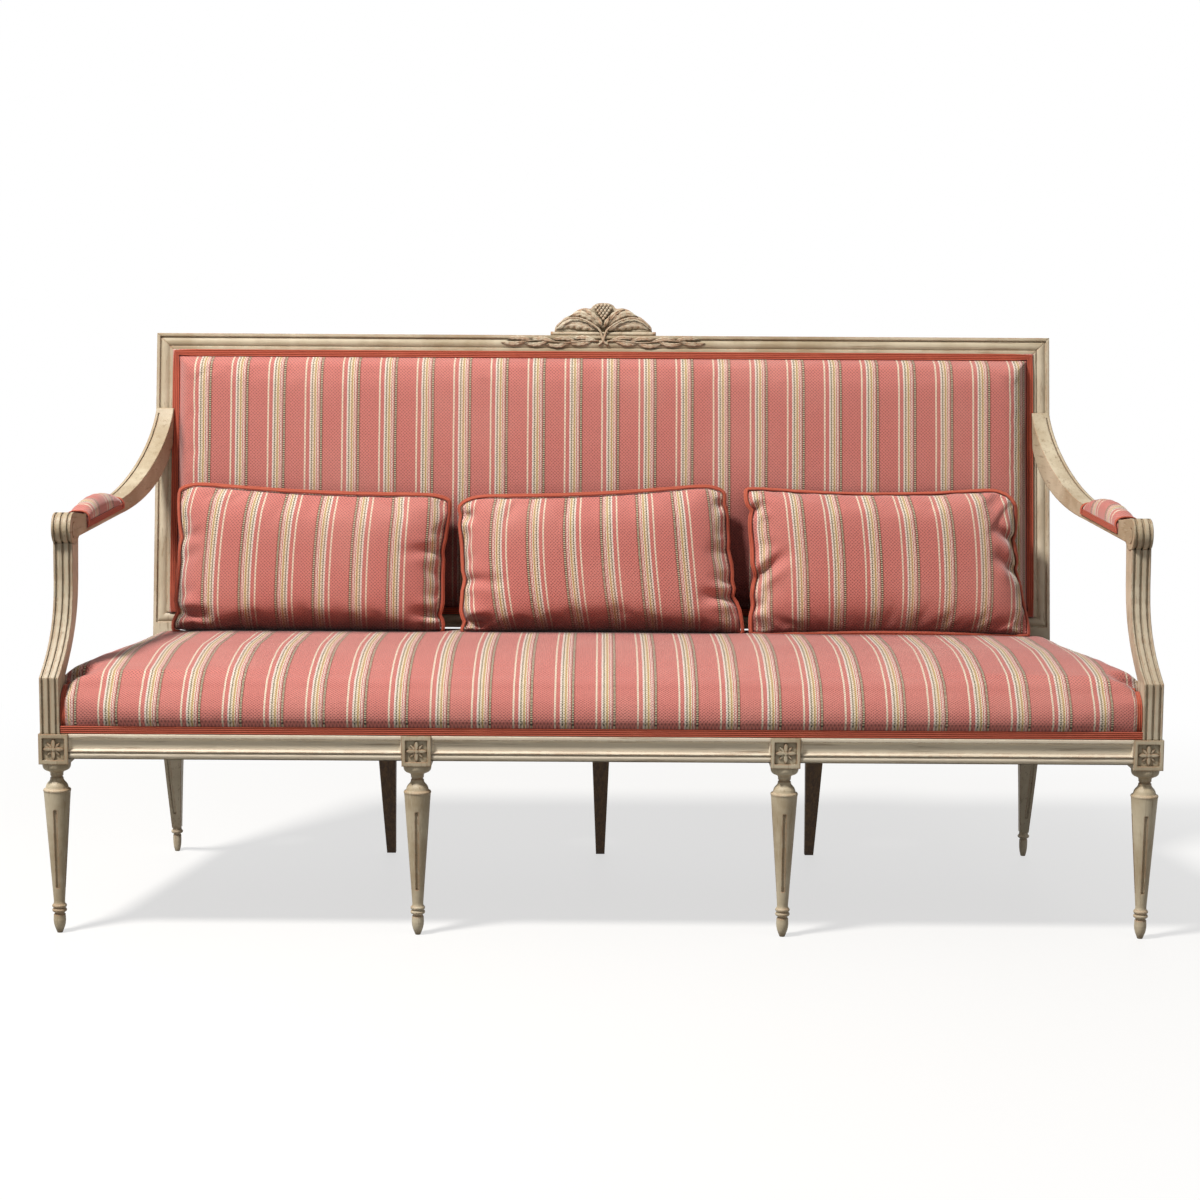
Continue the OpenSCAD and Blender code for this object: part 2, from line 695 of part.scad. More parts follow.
// A leafy sprig in low relief that runs out from the middle, on the right
module sprig() {
    steps = 16;
    far = sprig_l - leaf_len * 0.6;
    stem = [for (i = [0 : steps]) let (x = mix(6, far, i / steps)) [x, stem_s(x)]];
    along_y(-sprig_t + 1.2, 0) polygon(concat([for (p = stem) p + [0, 1.4]], backwards([for (p = stem) p - [0, 1.4]])));
    for (i = [0 : leaf_count - 1]) let (x = mix(18, sprig_l - leaf_len, i / (leaf_count - 1)), up = i % 2 == 0 ? 1 : -1)
        along_y(-sprig_t + (i % 2) * 0.8, 0) translate([x, stem_s(x)]) rotate(up * 9) intersection() {
            translate([leaf_len / 2, -leaf_len * 0.42]) circle(leaf_len * 0.65);
            translate([leaf_len / 2, leaf_len * 0.42]) circle(leaf_len * 0.65);
        }
}

// Two sprigs that cross in the middle, over the rail and the shell's bar
module rail_sprigs() {
    color(paint) on_back() {
        sprig();
        on_side(-1) sprig();
        for (s = [-1, 1]) on_side(s) along_y(-sprig_t - 0.6 * (s + 1) / 2, 0) polygon(concat(
            curve([[-13, sprig_s - 5], [-4, sprig_s - 9], [2, sprig_s], [1, slope_h + bar_h]], 6),
            backwards(curve([[-11, sprig_s - 1], [-5, sprig_s - 4], [-2, sprig_s], [-4, slope_h + bar_h]], 6))));
    }
}

// Seat bracing

brace_w = 26;
brace_drop = 8;

// Two braces from the inner front legs to the back rail, below the webbing
module seat_braces() {
    color(bare_wood) for (s = [-1, 1])
        box([s * inner_leg_x - brace_w / 2, block_back, rail_bottom + 4],
            [s * inner_leg_x + brace_w / 2, back_y, rail_top - brace_drop]);
}

corner_l = 60;

// Glue blocks in the four corners of the seat frame
module corner_blocks() {
    inner = rail_t / cos(side_angle);
    color(bare_wood) for (s = [-1, 1]) on_side(s) {
        along_z(rail_bottom + 5, rail_top - brace_drop) polygon([
            [corner_x - block / 2 - corner_l, rail_back], [corner_x - block / 2, rail_back],
            [corner_x - block / 2, block_back], [side_x(block_back) - inner, block_back],
            [side_x(block_back + corner_l) - inner, block_back + corner_l]]);
        along_z(rail_bottom + 5, rail_top - brace_drop) polygon([
            [side_x(back_y - corner_l) - inner, back_y - corner_l], [side_x(back_y) - inner, back_y],
            [post_in - corner_l, back_y]]);
    }
}

// Arms

pad_y0 = front_y + 146;
pad_y1 = pad_y0 + arm_pad_l + 6;
pad_wood_z0 = scroll_z + 8;
pad_wood_z1 = scroll_z + 19;
pad_side = 3;
cover_lift = 6.5;
pad_rear_z = scroll_z + 33;
scroll_cy = front_y + scroll_y;
arm_rear_x = back_w / 2 - 1.5;
arm_under_join = arm_join_z - 47;
arm_mid_x = arm_x - arm_w / 2;
arm_dowel_r = 4;
arm_dowel_l = 15;
arm_dowel_x = arm_rear_x - arm_w / 2;
arm_dowel_z = arm_join_z - 42;

// Depth of the posts' front face at height z
function post_y(z) = back_y + (z - rail_top) * tan(rake);

// Height of the arm's underside between the scroll and the rear of the pad
function under_z(y) = mix(scroll_z - 15, scroll_z + 6, (y - scroll_cy - 21) / (pad_y1 - 15 - scroll_cy - 21));

// The rising top edge of the arm, from the rear of its pad to the post
arm_top = curve([[pad_y1, pad_rear_z], [pad_y1 + 110, pad_rear_z + 16],
    [post_y(arm_join_z) - 43, arm_join_z - 62], [post_y(arm_join_z) - 5, arm_join_z + 10]], 14);

// The underside of the arm over the same stretch
arm_under = curve([[pad_y1 - 15, scroll_z + 6], [pad_y1 + 110, scroll_z + 15],
    [post_y(arm_under_join) - 38, arm_under_join - 73], [post_y(arm_under_join), arm_under_join]], 14);

// Side outline of an arm: round its scroll, back underneath, and forward along the top.
// It is carried a little way into the post, to be cut off there.
module arm_outline() {
    polygon(concat(
        arc([scroll_cy, scroll_z], scroll_r, 78, 292, 26),
        [[scroll_cy + 21, scroll_z - 15]], arm_under,
        [[post_y(arm_under_join) + 20, arm_under_join], [post_y(arm_join_z) + 20, arm_join_z + 14]],
        backwards(arm_top),
        [[pad_y1, pad_wood_z1], [pad_y0, pad_wood_z0], [pad_y0, scroll_z + 20], [pad_y0 - 6, scroll_z + 20]]));
}

// An arm's outer face in plan: straight past the scroll, a short bend, then straight in to the post
arm_kink = [arm_x, front_y + 80];
arm_end = [arm_rear_x, post_y(scroll_z + 130)];
arm_bend = concat(curve([arm_kink - [0, 30], arm_kink, arm_kink, mix(arm_kink, arm_end, 0.08)], 6), [arm_end]);

// Distance of an arm's outer face from the middle at depth y
function arm_edge(y) = lookup(y, [for (p = arm_bend) [p[1], p[0]]]);

// Points along an arm's outer face, moved inwards by off
function arm_side_points(off) = concat(
    [[arm_x - off, front_y + 40]],
    [for (p = arm_bend) p - [off, 0]],
    [[arm_rear_x - off, depth / 2]]);

// Plan of an arm
module arm_plan() { polygon(concat(arm_side_points(0), backwards(arm_side_points(arm_w)))); }

groove_offs = [3.5, arm_w / 2 - 1.75, arm_w - 7];
reed_groove = 3.5;
volute_turns = 1.6;

// Spiral groove of the volute, as a strip that winds inwards
module volute() {
    steps = 36;
    outer = [for (i = [0 : steps]) let (t = i / steps, a = 60 - t * volute_turns * 360, r = mix(scroll_r - 4, 4, t)) r * [cos(a), sin(a)]];
    inner = [for (i = [0 : steps]) let (t = i / steps, a = 60 - t * volute_turns * 360, r = mix(scroll_r - 4, 4, t) - mix(2.6, 1.6, t)) r * [cos(a), sin(a)]];
    polygon(concat(outer, backwards(inner)));
}

// One show-wood arm: swept down from the post, cut away for its pad, and scrolled at the front
module arm(side) {
    color(paint) on_side(side) difference() {
        intersection() {
            along_x(arm_rear_x - arm_w - 20, arm_x + 20) arm_outline();
            along_z(scroll_z - scroll_r - 5, arm_join_z + 20) arm_plan();
        }
        intersection() {
            along_z(scroll_z - scroll_r, arm_join_z) difference() {
                polygon([[arm_x + 20, pad_y0], [arm_x + 20, pad_y1], [arm_rear_x - arm_w - 40, pad_y1], [arm_rear_x - arm_w - 40, pad_y0]]);
                polygon(concat(arm_side_points(pad_side), backwards(arm_side_points(arm_w - pad_side))));
            }
            along_x(0, front_w) polygon([[pad_y0, under_z(pad_y0) + cover_lift], [pad_y1, under_z(pad_y1) + cover_lift],
                [pad_y1, arm_join_z], [pad_y0, arm_join_z]]);
        }
        for (off = groove_offs) translate([arm_x - off - reed_groove, scroll_cy, scroll_z]) rotate([0, 90, 0]) difference() {
            cylinder(r = scroll_r + 2, h = reed_groove);
            translate([0, 0, -1]) cylinder(r = scroll_r - 2.2, h = reed_groove + 2);
            translate([-1.5 * scroll_r, 2, -1]) cube([3 * scroll_r, 2 * scroll_r, reed_groove + 2]);
        }
        translate([0, scroll_cy, scroll_z]) {
            along_x(arm_x - 1.4, arm_x + 1) volute();
            along_x(arm_x - arm_w - 1, arm_x - arm_w + 1.4) volute();
        }
        intersection() {
            along_z(scroll_z, arm_join_z + 1) polygon(concat(arm_side_points(5), backwards(arm_side_points(7))));
            along_x(arm_rear_x - arm_w, arm_x) polygon(concat(
                [for (p = arm_top) p + [0, 2]], backwards([for (p = arm_top) p + [1, -2]])));
        }
        on_back() {
            box([0, 0, 0], [front_w, 100, slope_h]);
            box([0, -gimp_t - border_t, 0], [panel_x + soft_gap, 1, slope_h]);
            translate([arm_dowel_x, -arm_dowel_l - 0.5, slope(arm_dowel_z)]) rotate([-90, 0, 0])
                cylinder(r = arm_dowel_r + joint_gap, h = arm_dowel_l + 1);
        }
        support_dowel(joint_gap);
    }
}

// The dowel between a support and its arm, grown by gap
module support_dowel(gap) {
    translate([arm_mid_x, scroll_cy + 9, scroll_z - scroll_r - 19.5 - gap]) cylinder(r = dowel_r + gap, h = 38 + 2 * gap);
}

module arm_left() { arm(-1); }
module arm_right() { arm(1); }

break_z = rail_top + 95;
support_out = arm_x + 12;

// Outer edge of a support seen from the front, moved inwards by off
function support_edge(off) = concat(
    [[support_out - off, rail_top], [support_out - off, break_z]],
    curve([[support_out - off, break_z], [support_out - 7 - off, break_z + 36],
        [arm_x - off, break_z + 76], [arm_x - off, break_z + 136]], 8),
    [[arm_x - off, scroll_z]]);

// Front edge of a support seen from the side
support_front = concat(
    [[front_y + 2, rail_top], [front_y + 2, break_z]],
    curve([[front_y + 2, break_z], [front_y + 30, break_z + 32],
        [scroll_cy - 19, break_z + 77], [scroll_cy - 14, break_z + 157]], 8),
    [[scroll_cy - 12, scroll_z - 5]]);

// Rear edge of a support seen from the side
support_rear = concat(
    [[front_y + 48, rail_top], [front_y + 48, rail_top + 67]],
    curve([[front_y + 48, rail_top + 67], [front_y + 62, rail_top + 122],
        [scroll_cy + 19, break_z + 77], [scroll_cy + 29, break_z + 157]], 8),
    [[scroll_cy + 36, scroll_z - 5]]);

// An arm support, reeded down its front, standing on the corner block
module arm_support(side) {
    color(paint) on_side(side) difference() {
        intersection() {
            along_y(front_y, front_y + 200) polygon(concat(support_edge(0), backwards(support_edge(arm_w))));
            along_x(arm_x - arm_w - 5, support_out + 5) difference() {
                polygon(concat(support_front, backwards(support_rear)));
                arm_outline();
            }
        }
        for (off = groove_offs) intersection() {
            along_y(front_y, front_y + 200) polygon(concat(support_edge(off), backwards(support_edge(off + reed_groove))));
            along_x(arm_x - arm_w - 5, support_out + 5) polygon(concat(
                [for (p = support_front) p - [4, 0]], backwards([for (p = support_front) p + [2.6, 0]])));
        }
        translate([support_x, front_y + block / 2, rail_top - 1]) cylinder(r = dowel_r + joint_gap, h = dowel_l + 1.5);
        support_dowel(joint_gap);
    }
}

module arm_support_left() { arm_support(-1); }
module arm_support_right() { arm_support(1); }

// Dowels between supports, corner blocks and arms, and between arms and posts
module arm_dowels() {
    color(bare_wood) for (s = [-1, 1]) on_side(s) {
        translate([support_x, front_y + block / 2, rail_top - dowel_l]) cylinder(r = dowel_r, h = 2 * dowel_l);
        support_dowel(0);
        on_back() translate([arm_dowel_x, -arm_dowel_l, slope(arm_dowel_z)]) rotate([-90, 0, 0])
            cylinder(r = arm_dowel_r, h = 2 * arm_dowel_l);
    }
}

// Stuffed forms

// Grid places round nx by ny cells, anticlockwise from above
function edge_loop(nx, ny) = concat(
    [for (i = [0 : nx - 1]) [i, 0]], [for (j = [0 : ny - 1]) [nx, j]],
    [for (i = [nx : -1 : 1]) [i, ny]], [for (j = [ny : -1 : 1]) [0, j]]);

// Points of a pad's skin: rings of [inset, height] up its wall, then the grid of its top.
// plan(i, j, inset) gives a grid place in X and Y, crown(i, j) the height of the top there,
// and stretch(y) the factor on heights over the first ring at depth y.
function skin_points(nx, ny, plan, rings, top_inset, crown, stretch = even) =
    let (place = function (i, j, inset, z) let (p = plan(i, j, inset)) [p[0], p[1], mix(rings[0][1], z, stretch(p[1]))])
    concat([for (r = rings) for (k = edge_loop(nx, ny)) place(k[0], k[1], r[0], r[1])],
        [for (j = [0 : ny]) for (i = [0 : nx]) place(i, j, top_inset, crown(i, j))]);

// The stretch of pads that are level
even = function (y) 1;

// Two triangles of a face
function two(a, b, c, d) = [[a, b, c], [a, c, d]];

// Faces of such a skin without its base, with point numbers starting at first
function skin_faces(nx, ny, ring_count, first) =
    let (loop = edge_loop(nx, ny), n = len(loop), grid = first + ring_count * n,
        top = function (k) grid + loop[k][1] * (nx + 1) + loop[k][0],
        above = function (r, k) r == ring_count ? top(k) : first + r * n + k)
    concat(
        [for (r = [0 : ring_count - 1]) for (k = [0 : n - 1]) let (m = (k + 1) % n)
            each two(first + r * n + k, above(r + 1, k), above(r + 1, m), first + r * n + m)],
        [for (j = [0 : ny - 1]) for (i = [0 : nx - 1]) let (p = grid + j * (nx + 1) + i)
            each two(p, p + nx + 1, p + nx + 2, p + 1)]);

// A closed pad, whose base is a fan of triangles round its middle
module pad(nx, ny, plan, rings, top_inset, crown, stretch = even) {
    skin = skin_points(nx, ny, plan, rings, top_inset, crown, stretch);
    n = 2 * (nx + ny);
    polyhedron(
        points = concat(skin, [[0, (skin[0][1] + skin[n / 2][1]) / 2, rings[0][1]]]),
        faces = concat(skin_faces(nx, ny, len(rings), 0), [for (k = [0 : n - 1]) [k, (k + 1) % n, len(skin)]]));
}

// A fabric cover over a pad, open underneath, with thickness t
module cover(nx, ny, plan, rings, top_inset, crown, t, stretch = even) {
    outer = skin_points(nx, ny, plan, rings, top_inset, crown, stretch);
    inner_rings = [for (i = [0 : len(rings) - 1]) [rings[i][0] + t, i == 0 ? rings[0][1] : rings[i][1] - (rings[i][0] > 4 ? t : 0)]];
    inner = skin_points(nx, ny, plan, inner_rings, top_inset + t, function (i, j) crown(i, j) - t, stretch);
    n = 2 * (nx + ny);
    first = len(outer);
    polyhedron(
        points = concat(outer, inner),
        faces = concat(
            skin_faces(nx, ny, len(rings), 0),
            [for (f = skin_faces(nx, ny, len(rings), first)) [f[0], f[2], f[1]]],
            [for (k = [0 : n - 1]) let (m = (k + 1) % n) each two(k, m, first + m, first + k)]));
}

// Seat upholstery

seat_nx = 12;
notch_x = corner_x - block / 2 + 5;
notch_y = block_back + 6;
seat_rear = back_y + rail_t - 2;
cover_in = 3;

// Rows of the seat from front to back: [depth, 0 at the front, 1 behind the notches, 2 between the posts]
seat_rows = [
    [rail_front, 0], [notch_y, 0], [notch_y, 1],
    [mix(notch_y, back_y, 0.2), 1], [mix(notch_y, back_y, 0.5), 1], [mix(notch_y, back_y, 0.8), 1],
    [back_y - 1, 1], [back_y - 1, 2], [seat_rear, 2]];
seat_ny = len(seat_rows) - 1;

// Grid place i, j of the seat, drawn in from its edges by inset
function seat_plan(i, j, inset) =
    let (row = seat_rows[j],
        y = row[0] + (j == 0 ? inset : j == 1 || j == 2 ? inset : j >= seat_ny - 2 ? -inset : 0),
        half = row[1] == 0 ? notch_x - inset : row[1] == 1 ? side_x(y) - inset : post_in - 1 - inset)
    [mix(-half, half, i / seat_nx), j == 2 ? y + 0.4 : j == seat_ny - 1 ? y + 0.4 : y];

// Height of the seat's top at grid place i, j
function seat_height(i, j) = let (p = seat_plan(i, j, seat_top_inset)) seat_edge_z + seat_crown * sin(180 * i / seat_nx)
    * sin(180 * (p[1] - rail_front) / (seat_rear - rail_front));

seat_rings = [
    [cover_in, rail_top], [cover_in, rail_top + gimp_w + 2], [cover_in - 1.6, rail_top + gimp_w + 6],
    [cover_in - 2.6, mix(rail_top, seat_edge_z, 0.55)], [cover_in - 1, seat_edge_z - 24],
    [cover_in + 5, seat_edge_z - 10], [cover_in + 16, seat_edge_z - 2.5]];
seat_top_inset = 34;
seat_grid = function (i, j, inset) seat_plan(i, j, inset);
seat_stretch = function (y) 1 + seat_rise / (seat_edge_z - rail_top) * (y - rail_front) / (seat_rear - rail_front);

module seat_cover() {
    color(cloth) cover(seat_nx, seat_ny, seat_grid, seat_rings, seat_top_inset,
        function (i, j) seat_height(i, j), cover_t, seat_stretch);
}

strap_t = 1.2;
strap_w = 50;
hessian_t = 1;
web_mid = rail_top + strap_t + soft_gap / 2;
hessian_z = rail_top + 2 * strap_t + soft_gap + soft_gap;
stuffing_z = hessian_z + hessian_t + soft_gap;
stuffing_in = cover_t + soft_gap;

module seat_stuffing() {
    color(hair) pad(seat_nx, seat_ny, seat_grid,
        [[cover_in + stuffing_in, stuffing_z], [cover_in + stuffing_in, seat_edge_z - 26], [cover_in + stuffing_in + 8, seat_edge_z - 17],
         [cover_in + stuffing_in + 18, seat_edge_z - 9]],
        seat_top_inset + stuffing_in + 2, function (i, j) seat_height(i, j) - stuffing_in - 1.5, seat_stretch);
}

// Plan of the seat drawn in by inset, for the flat layers under the stuffing
module seat_sheet(inset) {
    polygon([for (k = edge_loop(seat_nx, seat_ny)) seat_plan(k[0], k[1], inset)]);
}

sheet_in = cover_in + cover_t + 2;

module seat_hessian() { color(linen) along_z(hessian_z, hessian_z + hessian_t) seat_sheet(sheet_in); }

// Outline of a strap woven over and under the crossings at places at, from a to b, about height 0.
// It starts under the first crossing where first is -1.
module strap(a, b, at, first) {
    half = strap_w / 2 + 6;
    rise = (strap_t + soft_gap) / 2;
    path = concat([[a, -rise]], [for (k = [0 : len(at) - 1]) let (z = rise * first * (k % 2 == 0 ? 1 : -1))
        each [[at[k] - half, z], [at[k] + half, z]]], [[b, -rise]]);
    polygon(concat([for (p = path) p + [0, strap_t / 2]], backwards([for (p = path) p - [0, strap_t / 2]])));
}

seat_strap_n = 13;
seat_cross_n = 4;
strap_reach = post_in - sheet_in - strap_w / 2 - 3;
seat_strap_x = [for (i = [0 : seat_strap_n - 1]) mix(-strap_reach, strap_reach, i / (seat_strap_n - 1))];
seat_cross_y = [for (i = [0 : seat_cross_n - 1]) mix(notch_y + 40, back_y - 60, i / (seat_cross_n - 1))];

// Webbing woven over the seat frame and tacked on top of its rails
module seat_webbing() {
    color(jute) {
        for (i = [0 : seat_strap_n - 1])
            translate([0, 0, web_mid]) along_x(seat_strap_x[i] - strap_w / 2, seat_strap_x[i] + strap_w / 2)
                strap(rail_front + sheet_in + 1, seat_rear - sheet_in - 1, seat_cross_y, i % 2 == 0 ? 1 : -1);
        for (j = [0 : seat_cross_n - 1]) {
            reach = side_x(seat_cross_y[j] + strap_w / 2) - sheet_in - 1;
            translate([0, 0, web_mid]) along_y(seat_cross_y[j] - strap_w / 2, seat_cross_y[j] + strap_w / 2)
                strap(-reach, reach, seat_strap_x, j % 2 == 0 ? -1 : 1);
        }
    }
}

// Section of the gimp braid: four cords side by side, lying on Y = 0 and facing -Y
module gimp_section(w) {
    r = w / 8;
    polygon(concat([[-w / 2, 0]], [for (i = [0 : 3]) each arc([(2 * i - 3) * r, r - gimp_t], r, 180, 360, 5)], [[w / 2, 0]]));
}

// A level run of gimp on a wall that faces -Y, from x0 to x1, with its lower edge at z
module gimp_run(x0, x1, z) {
    translate([0, 0, z + gimp_w / 2]) along_x(x0, x1) mirror([1, -1]) gimp_section(gimp_w);
}

gimp_z = rail_top + soft_gap;
gimp_face = cover_in - soft_gap;

module seat_gimp() {
    front_wall = rail_front + gimp_face;
    side_wall_len = (back_y - 2 - notch_y) / cos(side_angle);
    strip_w = gimp_w;
    strip_in = cover_in - 2.6 - soft_gap;
    color(braid) {
        translate([0, front_wall, 0]) gimp_run(-notch_x + cover_in, notch_x - cover_in, gimp_z);
        translate([0, seat_rear - gimp_face, 0]) rotate([0, 0, 180]) gimp_run(-post_in + 6, post_in - 6, gimp_z);
        for (s = [-1, 1]) on_side(s) {
            translate([side_x(notch_y + 4) - gimp_face, notch_y + 4, 0]) rotate([0, 0, 90 + side_angle])
                gimp_run(2, side_wall_len - 10, gimp_z);
            translate([notch_x - cover_in - strip_w / 2, rail_front + strip_in, gimp_z + gimp_w + soft_gap])
                linear_extrude(seat_edge_z - 24 - gimp_z - gimp_w) gimp_section(strip_w);
        }
    }
}

// Back upholstery, with X across, Y up the slope, and height in front of the frame

panel_edge = 31;
panel_x = back_w / 2 - panel_edge;
panel_low = low_s + 24;
panel_high = slope_h - panel_edge;
panel_nx = 12;
panel_ny = 6;
border_t = 1.6;
frame_flat = -1;

function panel_plan(i, j, inset) = [mix(-panel_x + inset, panel_x - inset, i / panel_nx), mix(panel_low + inset, panel_high - inset, j / panel_ny)];
function panel_height(i, j) = back_stand + back_crown * sin(180 * i / panel_nx) * sin(180 * j / panel_ny);

panel_rings = [
    [0, frame_flat], [0, frame_flat + border_t], [gimp_w + 1, frame_flat + border_t],
    [gimp_w + 1.5, back_stand * 0.35], [gimp_w + 6, back_stand * 0.72], [gimp_w + 15, back_stand * 0.92]];
panel_top_inset = gimp_w + 32;
panel_grid = function (i, j, inset) panel_plan(i, j, inset);

// Turns a layout lying in X and Y up against the back frame
module on_panel() { on_back() rotate([90, 0, 0]) children(); }

// Cover of the stuffed back: a flat tacked border and a raised, stuffed field
module back_cover() {
    outer = skin_points(panel_nx, panel_ny, panel_grid, panel_rings,
        panel_top_inset, function (i, j) panel_height(i, j));
    inner_rings = [
        [gimp_w, frame_flat], [gimp_w + 1.5 + cover_t, back_stand * 0.3],
        [gimp_w + 6 + cover_t, back_stand * 0.72 - cover_t], [gimp_w + 15 + cover_t, back_stand * 0.92 - cover_t]];
    inner = skin_points(panel_nx, panel_ny, panel_grid, inner_rings,
        panel_top_inset + cover_t, function (i, j) panel_height(i, j) - cover_t);
    n = 2 * (panel_nx + panel_ny);
    first = len(outer);
    color(cloth) on_panel() polyhedron(
        points = concat(outer, inner),
        faces = concat(
            skin_faces(panel_nx, panel_ny, len(panel_rings), 0),
            [for (f = skin_faces(panel_nx, panel_ny, len(inner_rings), first)) [f[0], f[2], f[1]]],
            [for (k = [0 : n - 1]) let (m = (k + 1) % n) each two(k, m, first + m, first + k)]));
}

back_web_mid = rebate_d - strap_t - soft_gap / 2;
back_hessian_y = back_web_mid - strap_t - soft_gap * 1.5 - hessian_t;

module back_stuffing() {
    base = -back_hessian_y + soft_gap;
    edge = gimp_w + 2 + cover_t + soft_gap;
    color(hair) on_panel() pad(panel_nx, panel_ny, panel_grid,
        [[edge, base], [edge, back_stand * 0.28], [edge + 6, back_stand * 0.6], [edge + 15, back_stand * 0.78]],
        panel_top_inset + cover_t + 2, function (i, j) panel_height(i, j) - cover_t - 1.5);
}

// Hessian stretched over the webbing of the back, inside the frame's rebate
module back_hessian() {
    color(linen) on_back() box([-post_in - rebate_w + 1.5, back_hessian_y, frame_in_low - rebate_w + 1.5],
        [post_in + rebate_w - 1.5, back_hessian_y + hessian_t, frame_in_high + rebate_w - 1.5]);
}

back_strap_n = 11;
back_cross_n = 3;
back_strap_x = [for (i = [0 : back_strap_n - 1]) (i - (back_strap_n - 1) / 2) * (2 * post_in - 110) / (back_strap_n - 1)];
back_cross_s = [for (i = [0 : back_cross_n - 1]) mix(frame_in_low + 60, frame_in_high - 60, i / (back_cross_n - 1))];

// Webbing of the back, tacked into the frame's rebate and laid out like the stuffed panel
module back_webbing() {
    color(jute) on_panel() translate([0, 0, -back_web_mid]) {
        for (i = [0 : back_strap_n - 1])
            along_x(back_strap_x[i] - strap_w / 2, back_strap_x[i] + strap_w / 2)
                strap(frame_in_low - rebate_w + 1.5, frame_in_high + rebate_w - 1.5, back_cross_s, i % 2 == 0 ? 1 : -1);
        for (j = [0 : back_cross_n - 1])
            along_y(back_cross_s[j] - strap_w / 2, back_cross_s[j] + strap_w / 2)
                strap(-post_in - rebate_w + 1.5, post_in + rebate_w - 1.5, back_strap_x, j % 2 == 0 ? -1 : 1);
    }
}

// Gimp round a rectangle that lies flat and faces +Z, with its ends butted at the corners
module gimp_frame(x, y0, y1) {
    for (s = [-1, 1]) translate([s * (x - gimp_w / 2), y0 + gimp_w, 0]) rotate([-90, 0, 0])
        linear_extrude(y1 - y0 - 2 * gimp_w) gimp_section(gimp_w);
    for (y = [y0 + gimp_w / 2, y1 - gimp_w / 2]) translate([0, y, 0]) along_x(-x, x) mirror([0, 1]) gimp_section(gimp_w);
}

module back_gimp() {
    color(braid) on_panel() translate([0, 0, frame_flat + border_t + soft_gap]) gimp_frame(panel_x, panel_low, panel_high);
}

rear_cloth_t = 1.5;

// Plain cloth that closes the rear of the back frame, over the uprights
module back_outer_cloth() {
    color(cloth) on_back() box([-post_in, upright_rear, frame_in_low], [post_in, upright_rear + rear_cloth_t, frame_in_high]);
}

module back_outer_gimp() {
    color(braid) on_back() translate([0, upright_rear + rear_cloth_t, 0]) rotate([90, 0, 180])
        gimp_frame(post_in, frame_in_low, frame_in_high);
}

// Arm pads

pad_end_h = 9;
pad_mid_h = 33;
pad_a = pad_y0 + soft_gap;
pad_b = pad_y1 - soft_gap;

// Places along a pad: depth, middle in X, wood top, and height of the pad over the wood
function pad_at(t) = let (y = mix(pad_a, pad_b, t))
    [y, arm_edge(y) - arm_w / 2, mix(pad_wood_z0, pad_wood_z1, (y - pad_y0) / (pad_y1 - pad_y0)),
     mix(pad_end_h, pad_mid_h, pow(sin(180 * t), 0.6))];

// Right half of a pad's section at place p, half-width w, from height low over the top, drawn in by d
function pad_arch(p, w, low, d) = [
    [w - 1.5 - d, low], [w - 0.5 - d, mix(low, p[2], 0.6)], [w + 0.5 - d, p[2] + p[3] * 0.2],
    [w - 1 - d, p[2] + p[3] * 0.6 - d * 0.5], [w - 7 - d * 0.6, p[2] + p[3] * 0.9 - d],
    [0, p[2] + p[3] - d]];

// Such a half section with its mirror image
function mirror_arch(v) = concat(v, [for (i = [len(v) - 2 : -1 : 0]) [-v[i][0], v[i][1]]]);

// Solid through equal sections, each a list of [x, z] at its own depth and middle. The second half of
// a section runs back beside the first, and strips between them close the ends.
module loft(sections, places) {
    n = len(sections[0]);
    m = len(sections);
    polyhedron(
        points = [for (k = [0 : m - 1]) for (q = sections[k]) [places[k][1] + q[0], places[k][0], q[1]]],
        faces = concat(
            [for (k = [0 : m - 2]) for (i = [0 : n - 1]) let (a = k * n + i, b = k * n + (i + 1) % n)
                each i < n / 2 ? two(a, b, b + n, a + n) : two(b, b + n, a + n, a)],
            [for (i = [0 : n / 2 - 2]) each two(n - 1 - i, n - 2 - i, i + 1, i)],
            [for (i = [0 : n / 2 - 2]) each two((m - 1) * n + i, (m - 1) * n + i + 1, m * n - 2 - i, m * n - 1 - i)]));
}

pad_ts = [0, 0.05, 0.15, 0.32, 0.5, 0.68, 0.85, 0.95, 1];
pad_places = [for (v = pad_ts) pad_at(v)];
pad_half = arm_w / 2 + 1.8;

// Height of the lower edge of an arm's cover at place p
function cover_low(p) = under_z(p[0]) + cover_lift + soft_gap;

wood_half = arm_w / 2 - pad_side;

module arm_cover(side) {
    color(cloth) on_side(side) loft(
        [for (p = pad_places) concat(
            mirror_arch(pad_arch(p, pad_half, cover_low(p), 0)),
            backwards(mirror_arch(stuffing_arch(p, wood_half + soft_gap, cover_low(p), 3 * soft_gap))))],
        pad_places);
}

// Right half of the stuffing's section at place p, half-width w, from height low, grown by gap
function stuffing_arch(p, w, low, gap) = [
    [w, low], [w, mix(low, p[2] + p[3] * 0.36, 0.5)], [w, p[2] + p[3] * 0.36],
    [w - 4, p[2] + p[3] * 0.7 - 3 + gap], [w - 7.5, p[2] + p[3] * 0.9 - 4.2 + gap],
    [0, p[2] + p[3] - 3.6 + gap]];

module arm_pad(side) {
    color(hair) on_side(side) loft(
        [for (p = pad_places) let (arch = mirror_arch(stuffing_arch(p, wood_half, p[2] + soft_gap + 1, 0)))
            concat(arch, backwards([for (q = arch) [q[0] * 0.98, p[2] + soft_gap]]))],
        pad_places);
}

arm_gimp_w = 8;
arm_gimp_t = 1.5;

